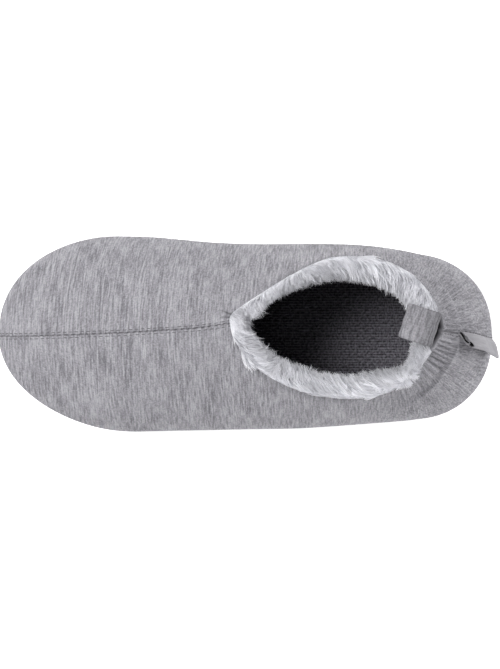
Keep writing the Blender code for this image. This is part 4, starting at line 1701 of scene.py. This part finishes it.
    def strand(self, graph: Graph, source: Value) -> Value:
        """One strand of length 1 along Z, bent to one side, with its share of the way to the tip marked.

        Args:
            graph: The tree's graph.
            source: Its input.

        Returns:
            The strand's mesh.
        """
        bend = {"Resolution": 2, "Start": (0.0, 0.0, -0.04), "Middle": self.bend[0], "End": self.bend[1]}
        line = graph.node("GeometryNodeCurveQuadraticBezier", None, bend)
        share = graph.node("GeometryNodeSplineParameter")
        ends = {"Geometry": line, "Name": "tip", "Value": share}
        line = graph.node("GeometryNodeStoreNamedAttribute", {"data_type": "FLOAT", "domain": "POINT"}, ends)
        slim = (source.other("Width") / source.other("Length")) * (1.0 - self.taper * share)
        round_ = graph.node("GeometryNodeCurvePrimitiveCircle", None, {"Resolution": 3, "Radius": 0.5})
        ends = {"Curve": line, "Profile Curve": round_, "Scale": slim, "Fill Caps": True}
        return graph.node("GeometryNodeCurveToMesh", None, ends)

    def sweep(self) -> Array:
        """How far the fur is swept along the rim at each place, positive from the inner side to the outer."""
        pelt = np.array(self.pelt)
        return np.interp(self.turn, pelt[:, 0], pelt[:, 2]) + waves(self.turn, self.sweep_waves)

    def spill(self) -> Array:
        """How far the outermost strands fall over the cloth at each place, in uneven tufts."""
        return np.clip(self.spill_mean + waves(self.turn, self.spill_waves), 0, 1)

    def stretch(self, growth: Growth) -> Array:
        """How long the fur is at each place, and longer where it is swept along the rim.

        Args:
            growth: Which growth.

        Returns:
            One share of the length for each column.
        """
        pelt = np.array(self.pelt)
        length = np.interp(self.turn, pelt[:, 0], pelt[:, 1]) + waves(self.turn, self.length_waves)
        return length * np.sqrt(1 + self.sweep_stretch * (growth.sweep * self.sweep()) ** 2)

    def comb(self, ring: Array, normal: Array, growth: Growth) -> Array:
        """Direction of the strands: over the rim and down the inside, with some lift and sweep.

        Args:
            ring: Points of the ring.
            normal: Its normals.
            growth: Which growth.

        Returns:
            One unit vector for each point of the ring.
        """
        over = unit(np.roll(ring, -self.chord, axis=1) - ring)
        along = unit(np.roll(ring, -1, axis=0) - np.roll(ring, 1, axis=0))
        inward = ring[:, self.crest_points[1]] - ring[:, self.crest_points[0]]
        inward = unit(inward * np.array([1.0, 1.0, 0.0]))[:, None, :]
        sweep = growth.sweep * self.sweep()[:, None, None]
        wisps = sum(strength * bump(self.turn - at, spread) for at, spread, strength in self.wisps)
        spilled = growth.spill * (self.spill()[:, None, None] * np.abs(sweep) + wisps[:, None, None])
        swept = sweep * along + (self.sweep_in * np.abs(sweep) - spilled) * inward
        lift = normal - np.minimum((normal * inward).sum(axis=2, keepdims=True), 0.0) * inward
        over = over - np.minimum((over * inward).sum(axis=2, keepdims=True), 0.0) * inward
        return unit(over + growth.lift * lift + swept)

    @staticmethod
    def skinned(ring: Array, name: str) -> Piece:
        """The ring as an object.

        Args:
            ring: Points of the ring.
            name: The object's name.

        Returns:
            The object.
        """
        maker = MeshMaker()
        maker.skin(maker.add(ring), (True, True))
        return maker.finish(name, [Fleece().material()])

    def build(self) -> list[Piece]:
        """The ring, then each growth of strands as a piece of its own.

        Returns:
            The finished pieces.
        """
        ring = self.ring()
        ground = self.skinned(ring, "fur_ground")
        normal = np.zeros(ring.size)
        ground.data.vertices.foreach_get("normal", normal)
        normal = normal.reshape(ring.shape)
        pieces = [settle(ground, Slot.FUR, "fur_collar")]
        rows = len(self.outer_rows) + 3 + len(self.section)
        row = np.arange(self.section_points) * rows / self.section_points
        clear = self.loop.bed(ring) > ring[..., 2] + self.loop_room
        for growth in self.growths:
            window = ease(row, *growth.start) * (1 - ease(row, *growth.end))
            cover = np.where(clear, window[None, :], 0.0)
            carrier = self.skinned(ring, "carrier_" + growth.name)
            mark(carrier, "comb", self.comb(ring, normal, growth).reshape(-1, 3))
            mark(carrier, "cover", cover.ravel())
            mark(carrier, "stretch", np.repeat(self.stretch(growth), self.section_points))
            flat = cover.ravel()
            area = sum(face.area * flat[list(face.vertices)].mean() for face in carrier.data.polygons)
            sizes = {
                "Density": growth.strands / area,
                "Tufts": 1 / self.tuft_spacing**2,
                "Pull": self.tuft_pull,
                "Length": growth.length * self.strand_length,
                "Width": self.strand_width,
                "Stray": growth.stray,
                "Seed": growth.seed,
                "Material": Fur().material(),
            }
            pieces.append(settle(grown(carrier, self.tree(), growth.name, sizes), Slot.FUR))
        return pieces


@dataclass
class PullLoop:
    """Band of doubled jersey, bent into a loop over the fur, with its two ends in the collar's back seam."""

    width: float = 0.0180
    reach: float = 0.0181
    height: float = 0.0125
    thickness: float = 0.0022
    stem: float = 0.0034
    foot_round: float = 0.0016
    foot: Triple = (-0.0958, -0.0020, 0.1046)
    yaw: float = math.radians(-18.0)
    slit_depth: float = 0.0080
    # a darker copy of the upper's jersey: painted shade over the whole loop
    shaded_jersey_dark: Triple = (0.120, 0.117, 0.129)
    shaded_jersey_light: Triple = (0.385, 0.379, 0.406)
    # painted shade, darker towards the loop's sewn ends at the back
    back_shade: float = 0.35
    shade_reach: Pair = (0.001, 0.013)
    room: float = 0.0010
    step: float = 0.0004
    edge_points: int = 5
    face_points: int = 15

    @staticmethod
    def arc(centre: Pair, radius: float, start: float, end: float) -> list[Pair]:
        """Points of an arc, angles in degrees."""
        turns = np.radians(np.linspace(start, end, 16))
        return [(centre[0] + radius * math.cos(a), centre[1] + radius * math.sin(a)) for a in turns]

    def path(self) -> Array:
        """Middle line of the band in its own plane, from one sewn end round to the other.

        Returns:
            Distances inward of the foot and above it.
        """
        half = self.thickness / 2
        bend, round_ = self.height / 2, self.foot_round
        points = [(3 * half, -self.stem), (3 * half, -self.stem * 0.4)]
        points += self.arc((3 * half + round_, half - round_), round_, 180, 90)
        points += self.arc((self.reach - bend, bend), bend - half, -90, 90)
        points += self.arc((bend, bend), bend - half, 90, 180)
        points += [(half, -self.stem)]
        line = np.array(points)
        along = run_lengths(line)
        keep = np.concatenate([[True], np.diff(along) > 1e-9])
        even = np.linspace(0, along[-1], int(along[-1] / self.step))
        return np.stack([np.interp(even, along[keep], line[keep, axis]) for axis in range(2)], axis=1)

    def place(self, points: Array) -> tuple[Array, Array]:
        """How far points lie inward of the loop's foot, and to which side of its middle.

        Args:
            points: Points in the boot's frame.

        Returns:
            Two distances for each point.
        """
        away = points - np.array(self.foot)
        inward = away[..., 0] * math.cos(self.yaw) + away[..., 1] * math.sin(self.yaw)
        return inward, -away[..., 0] * math.sin(self.yaw) + away[..., 1] * math.cos(self.yaw)

    def bed(self, points: Array) -> Array:
        """Highest level of the fur at points: under the loop, round its ends and in the slit behind.

        Args:
            points: Points in the boot's frame.

        Returns:
            One height for each point.
        """
        inward, beside = self.place(points)
        near = 1 - ease(np.abs(beside), self.width / 2 + self.room, self.width / 2 + 3 * self.room)
        level = np.full(inward.shape, 1.0)
        for reach, drop in ((self.reach, 0.0), (2 * self.thickness, self.stem), (0.0, self.slit_depth)):
            inside = near * (1 - ease(inward, reach + self.room, reach + 2 * self.room))
            level = np.where(inside > 0.5, np.minimum(level, self.foot[2] - self.room - drop), level)
        return level

    def section(self) -> Array:
        """Cross-section of the band: across its width, and through its thickness.

        Returns:
            Points of the closed section.
        """
        half, round_ = self.width / 2, self.thickness / 2
        across = np.linspace(-half + round_, half - round_, self.face_points)
        plump = round_ * (0.86 + 0.14 * np.cos(2 * math.pi * across / (self.width * 0.82)) ** 2)
        top = np.stack([across, plump], axis=1)
        turns = np.linspace(math.pi / 2, -math.pi / 2, self.edge_points + 2)[1:-1]
        edge = np.stack([half - round_ + round_ * np.cos(turns), round_ * np.sin(turns)], axis=1)
        return np.concatenate([top, edge, top[::-1] * [1, -1], edge[::-1] * [-1, 1]])

    def build(self) -> Piece:
        """The loop as one closed band.

        Returns:
            The finished piece.
        """
        line = self.path()
        tangent = unit(np.gradient(line, axis=0))
        side = np.stack([-tangent[:, 1], tangent[:, 0]], axis=1)
        section = self.section()
        inward = np.array([math.cos(self.yaw), math.sin(self.yaw), 0.0])
        across = np.array([-math.sin(self.yaw), math.cos(self.yaw), 0.0])
        axes = np.stack([inward, UP])
        grid = np.zeros((len(line), len(section), 3))
        for i, (middle, out) in enumerate(zip(line, side)):
            flat = middle[None, :] + section[:, 1:2] * out[None, :]
            grid[i] = flat @ axes + section[:, :1] * across + np.array(self.foot)
        maker = MeshMaker()
        numbers = maker.add(grid)
        maker.skin(numbers, (False, True))
        maker.cap(numbers[0])
        maker.cap(numbers[-1])
        jersey = Jersey(name="shaded_jersey_loop", dark=self.shaded_jersey_dark, light=self.shaded_jersey_light)
        piece = maker.finish("jersey_pull_loop", [jersey.material()])
        along = np.repeat(np.linspace(0, len(line) * self.step, len(line)), len(section))
        map_cloth(piece, along, np.tile(section[:, 0], len(line)) + 3.0)
        # painted shade: the fold mark darkens the loop towards its sewn ends
        back = 1 - ease(self.place(grid)[0], *self.shade_reach)
        mark(piece, "fold", self.back_shade * back.ravel())
        return settle(piece, Slot.JERSEY, "pull_loop")


@dataclass
class HeelTag:
    """Folded tape that stands out of the back seam and lies over to the outer side."""

    upper: Upper
    top_drop: float = 0.0200
    length: float = 0.0405
    slant: Pair = (0.0018, 0.0032)
    reach: float = 0.0105
    layer: float = 0.0008
    fold_gap: float = 0.0009
    # turn away from straight out of the seam, in degrees: at the seam, halfway out and at the fold
    top_turn: Triple = (-20.0, 66.0, 30.0)
    end_turn: Triple = (44.0, 82.0, 90.0)
    droop: float = 0.0040
    standoff: float = 0.0006
    stations: int = 60
    side_points: int = 14
    fold_points: int = 9

    def fold(self, share: float) -> Array:
        """Outline of the folded strip in its own plane: out from the seam, and across the two layers.

        Args:
            share: Share of the way down the tag.

        Returns:
            Points of the closed outline.
        """
        gap = self.fold_gap / 2 * (1 - 0.5 * share)
        half = gap + self.layer
        straight = self.reach - half
        out = np.linspace(0, straight, self.side_points, endpoint=False)
        turn = np.radians(np.linspace(90, -90, self.fold_points))
        nose = np.stack([np.cos(turn), np.sin(turn)], axis=1)
        loops = []
        for offset, round_ in ((half, nose), (-gap, nose[::-1])):
            there = np.stack([out, np.full_like(out, offset)], axis=1)
            back = np.stack([out[::-1], np.full_like(out, -offset)], axis=1)
            loops += [there, [straight, 0] + abs(offset) * round_, back]
        return np.concatenate(loops)

    def path(self, share: float) -> tuple[Array, Array, Array]:
        """Steps out from the seam, with the middle line and the turn of the strip at each.

        Args:
            share: Share of the way down the tag.

        Returns:
            The steps, the line and the turns.
        """
        steps = np.linspace(0, self.reach, 60)
        turn = np.array(self.top_turn) * (1 - share) + np.array(self.end_turn) * share
        turn = np.radians(smooth_curve(steps / self.reach, np.array([0, 0.5, 1.0]), turn))
        along = np.stack([np.cos(turn), np.sin(turn)], axis=1) * (steps[1] - steps[0])
        line = np.concatenate([np.zeros((1, 2)), np.cumsum((along[1:] + along[:-1]) / 2, axis=0)])
        return steps, line, turn

    def build(self) -> Piece:
        """The tag as one closed folded strip.

        Returns:
            The finished piece.
        """
        last = self.upper.last
        line = last.wall_grid(np.linspace(-1, 1, 64, endpoint=False), np.linspace(0, 1, 400))[0]
        depth = below_rim(line[None])[0]
        rings, marks = [], []
        for share in np.linspace(0, 1, self.stations):
            i = int(np.abs(depth - (self.top_drop + share * self.length)).argmin())
            down = unit(line[max(i - 2, 0)] - line[min(i + 2, len(line) - 1)])
            side = np.array([0, 1.0, 0])
            out = np.cross(down, side)
            out = out if out[0] < 0 else -out
            steps, middle, turn = self.path(share)
            half = self.layer + self.fold_gap / 2
            slant = np.interp(share, (0, 1), self.slant)
            root = line[i] + (self.standoff + half * math.sin(turn[0])) * out + slant * side
            shape = self.fold(share)
            angle = np.interp(shape[:, 0], steps, turn)
            over = np.interp(shape[:, 0], steps, middle[:, 0]) - shape[:, 1] * np.sin(angle)
            beside = np.interp(shape[:, 0], steps, middle[:, 1]) + shape[:, 1] * np.cos(angle)
            far = (shape[:, :1] / self.reach) ** 2
            rings.append(root + over[:, None] * out + beside[:, None] * side + far * self.droop * down)
            marks.append(np.stack([shape[:, 0], np.full(len(shape), share * self.length)], axis=1))
        maker = MeshMaker()
        numbers = maker.add(np.array(rings))
        maker.skin(numbers, (False, True))
        maker.cap(numbers[0])
        maker.cap(numbers[-1])
        piece = maker.finish("tape_heel_tag", [Tape().material()])
        flat = np.concatenate(marks)
        map_cloth(piece, flat[:, 0], flat[:, 1])
        # painted shade on the inner faces of the fold, at every station but the two ends
        within = np.tile(np.arange(len(rings[0])) >= len(rings[0]) // 2, (len(rings), 1)).astype(float)
        within[[0, -1]] = 0.0
        mark(piece, "fold", within.ravel())
        return settle(piece, Slot.TAG, "heel_tag")


@dataclass
class Footbed:
    """Terry footbed with ribs along the foot."""

    last: BootLast
    thickness: float = 0.0050
    clearance: float = 0.0010
    edge_round: float = 0.0020
    rib: float = 0.0014
    rib_height: float = 0.00020
    rungs: int = 90
    across: int = 380

    def build(self) -> Piece:
        """The footbed as one closed pad.

        Returns:
            The finished piece.
        """
        last = self.last
        share = (1 - np.cos(np.linspace(0, math.pi, self.rungs))) / 2
        inset = last.sole_inset + last.wall + self.clearance
        inner, outer = (last.outline(sign * np.maximum(share, 1e-6), inset) for sign in (-1, 1))
        way = np.linspace(0, 1, self.across + 1)[None, :, None]
        flat = inner[:, None, :] * (1 - way) + outer[:, None, :] * way
        base = last.sole(flat[..., 0].ravel() - last.heel_back_x, True).reshape(flat.shape[:2]) + last.gap
        width = np.linalg.norm(outer - inner, axis=1)[:, None]
        edge = np.minimum(way[..., 0], 1 - way[..., 0]) * width
        drop = self.edge_round * (1 - np.clip(edge / self.edge_round, 0, 1)) ** 2
        ribs = 0.5 + 0.5 * np.sin(2 * math.pi * flat[..., 1] / self.rib)
        ribs = self.rib_height * ribs * ease(edge, 0.0, 0.003)
        top = np.concatenate([flat, (base + self.thickness - drop + ribs)[..., None]], axis=2)
        bottom = np.concatenate([flat[:, [0, -1]], base[:, [0, -1], None]], axis=2)
        maker = MeshMaker()
        upper, lower = maker.add(top), maker.add(bottom)
        maker.skin(upper)
        maker.skin(lower)
        maker.skin(np.stack([upper[:, 0], lower[:, 0]], axis=1))
        maker.skin(np.stack([upper[:, -1], lower[:, -1]], axis=1))
        piece = maker.finish("terry_footbed", [Terry().material()], merge=1e-6)
        settle(piece, Slot.FOOTBED, "insole")
        return piece


@dataclass
class Sole:
    """Rubber sole: arch, toe spring, a ribbed side and grooves across heel and forefoot."""

    last: BootLast
    foot_inset: float = 0.0022
    rib_depth: float = 0.0007
    edge_round: float = 0.0012
    overhang: float = 0.001
    groove_depth: float = 0.0014
    groove_width: float = 0.0030
    groove_edge: float = 0.0004
    groove_pitch: float = 0.0100
    groove_share: float = 0.74
    # station of the first groove, and how many follow at the pitch
    grooves: Table = ((0.022, 5), (0.156, 6))
    rungs: int = 420
    across: int = 28

    def profile(self) -> Table:
        """Rows up the side: how far in from the edge, and share of the height.

        Returns:
            The rows, from the ground up.
        """
        low, rib = self.foot_inset, self.rib_depth
        return (
            (low + self.edge_round, 0.0),
            (low + 0.4 * self.edge_round, 0.03),
            (low, 0.10),
            (low * 0.6, 0.33),
            (low * 0.6 + 0.1 * rib, 0.345),
            (low * 0.6 + 0.9 * rib, 0.39),
            (low * 0.6 + rib, 0.42),
            (low * 0.3 + rib, 0.57),
            (low * 0.3 + 0.9 * rib, 0.60),
            (low * 0.3 + 0.1 * rib, 0.64),
            (low * 0.3, 0.66),
            (0.0, 0.86),
            (0.1 * self.edge_round, 0.95),
            (0.6 * self.edge_round, 1.0),
        )

    def cut(self, x: Array, way: Array) -> Array:
        """Depth of the grooves at points of the underside.

        Args:
            x: Their x.
            way: Their share of the way across.

        Returns:
            One depth for each point.
        """
        depth = np.zeros(x.shape)
        half, edge = self.groove_width / 2, self.groove_edge
        for first, count in self.grooves:
            for i in range(int(count)):
                away = np.abs(x - self.last.heel_back_x - first - i * self.groove_pitch)
                depth = np.maximum(depth, 1 - ease(away, half - edge, half + edge))
        middle = 1 - ease(np.abs(way - 0.5) * 2, self.groove_share - 0.02, self.groove_share + 0.02)
        return self.groove_depth * depth * middle

    def build(self) -> Piece:
        """The sole as one closed block.

        Returns:
            The finished piece.
        """
        last = self.last
        share = np.linspace(0, 1, self.rungs)
        maker = MeshMaker()
        walls = []
        for sign in (-1, 1):
            around = sign * np.maximum(share, 1e-6)
            station = last.station(last.outline(around))
            ground, top = last.sole(station, False), last.sole(station, True)
            edge = last.sole_inset - self.overhang
            rows = []
            for inset, part in self.profile():
                rows.append(with_height(last.outline(around, edge + inset), ground + part * (top - ground)))
            walls.append(np.stack(rows, axis=1))
        inner, outer = (maker.add(wall) for wall in walls)
        maker.skin(inner)
        maker.skin(outer)
        way = np.linspace(0, 1, self.across + 1)[1:-1]
        low = walls[0][:, None, 0] * (1 - way)[None, :, None] + walls[1][:, None, 0] * way[None, :, None]
        low[..., 2] += self.cut(low[..., 0], np.broadcast_to(way[None, :], low.shape[:2]))
        under = maker.add(low)
        maker.skin(np.concatenate([inner[:, :1], under, outer[:, :1]], axis=1))
        maker.skin(np.stack([inner[:, -1], outer[:, -1]], axis=1))
        piece = maker.finish("rubber_sole", [Rubber().material()], merge=1e-6)
        return settle(piece, Slot.RUBBER, "outsole")


@dataclass(frozen=True)
class Lamp:
    """One soft rectangular lamp that shines at the boot."""

    name: str
    power: float
    size: Pair
    place: Triple
    aim: Triple = (0.0, 0.0, 0.05)

    def build(self) -> None:
        """Set the lamp up in the scene."""
        lamp = bpy.data.objects.new(self.name, bpy.data.lights.new(self.name, "AREA"))
        lamp.data.energy = self.power
        lamp.data.shape = "RECTANGLE"
        lamp.data.size, lamp.data.size_y = self.size
        lamp.location = self.place
        way = np.array(self.place) - np.array(self.aim)
        tilt = math.acos(way[2] / np.linalg.norm(way))
        lamp.rotation_euler = (tilt, 0.0, math.atan2(way[1], way[0]) + math.pi / 2)
        bpy.context.scene.collection.objects.link(lamp)


@dataclass
class Studio:
    """Camera straight above the boot, pale floor and soft light."""

    height: float = 1.6
    lens: float = 157.62
    middle_x: float = -0.0008
    sky: float = 0.06
    lamps: tuple[Lamp, ...] = (
        Lamp("key_light", 36.6, (0.8, 0.8), (1.04, -0.42, 1.71)),
        Lamp("top_light", 1.1, (0.4, 0.4), (0.25, 0.0, 1.90), (-0.04, 0.0, 0.05)),
        Lamp("heel_light", 13.0, (1.1, 0.6), (-1.85, 0.0, 0.8)),
        Lamp("outer_light", 12.2, (0.8, 0.8), (0.0, 1.53, 1.34)),
        Lamp("inner_light", 10.7, (0.8, 0.8), (-1.08, -1.08, 1.34)),
    )
    floor_half: float = 4.0

    def build(self) -> None:
        """Make the camera, the floor and the lights."""
        scene = bpy.context.scene
        camera = bpy.data.objects.new("camera", bpy.data.cameras.new("camera"))
        camera.data.lens = self.lens
        camera.data.sensor_width = 36.0
        camera.location = (self.middle_x, 0.0, self.height)
        camera.rotation_euler = (0.0, 0.0, math.pi)
        scene.collection.objects.link(camera)
        scene.camera = camera
        scene.view_settings.view_transform = "Standard"
        maker = MeshMaker()
        half = self.floor_half
        corners = np.array([[-half, -half, 0.0], [half, -half, 0.0], [half, half, 0.0], [-half, half, 0.0]])
        maker.cap(maker.add(corners))
        floor = maker.finish("floor", [PaleFloor().material()])
        world = bpy.data.worlds.new("sky")
        world.use_nodes = True
        world.node_tree.nodes["Background"].inputs["Color"].default_value = (1.0, 1.0, 1.0, 1.0)
        world.node_tree.nodes["Background"].inputs["Strength"].default_value = self.sky
        scene.world = world
        for lamp in self.lamps:
            lamp.build()


def main() -> None:
    """Build the boot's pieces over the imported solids, then the studio."""
    logging.basicConfig(level=logging.INFO, format="%(message)s")
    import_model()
    last = BootLast()
    loop = PullLoop()
    upper = Upper(last, loop)
    makers: list[Callable[[], Any]] = [
        upper.build,
        Stitching(upper).build,
        FurCollar(last, loop).build,
        loop.build,
        HeelTag(upper).build,
        Footbed(last).build,
        Sole(last).build,
        Studio().build,
    ]
    for make in makers:
        make()


if __name__ == "__main__":
    main()
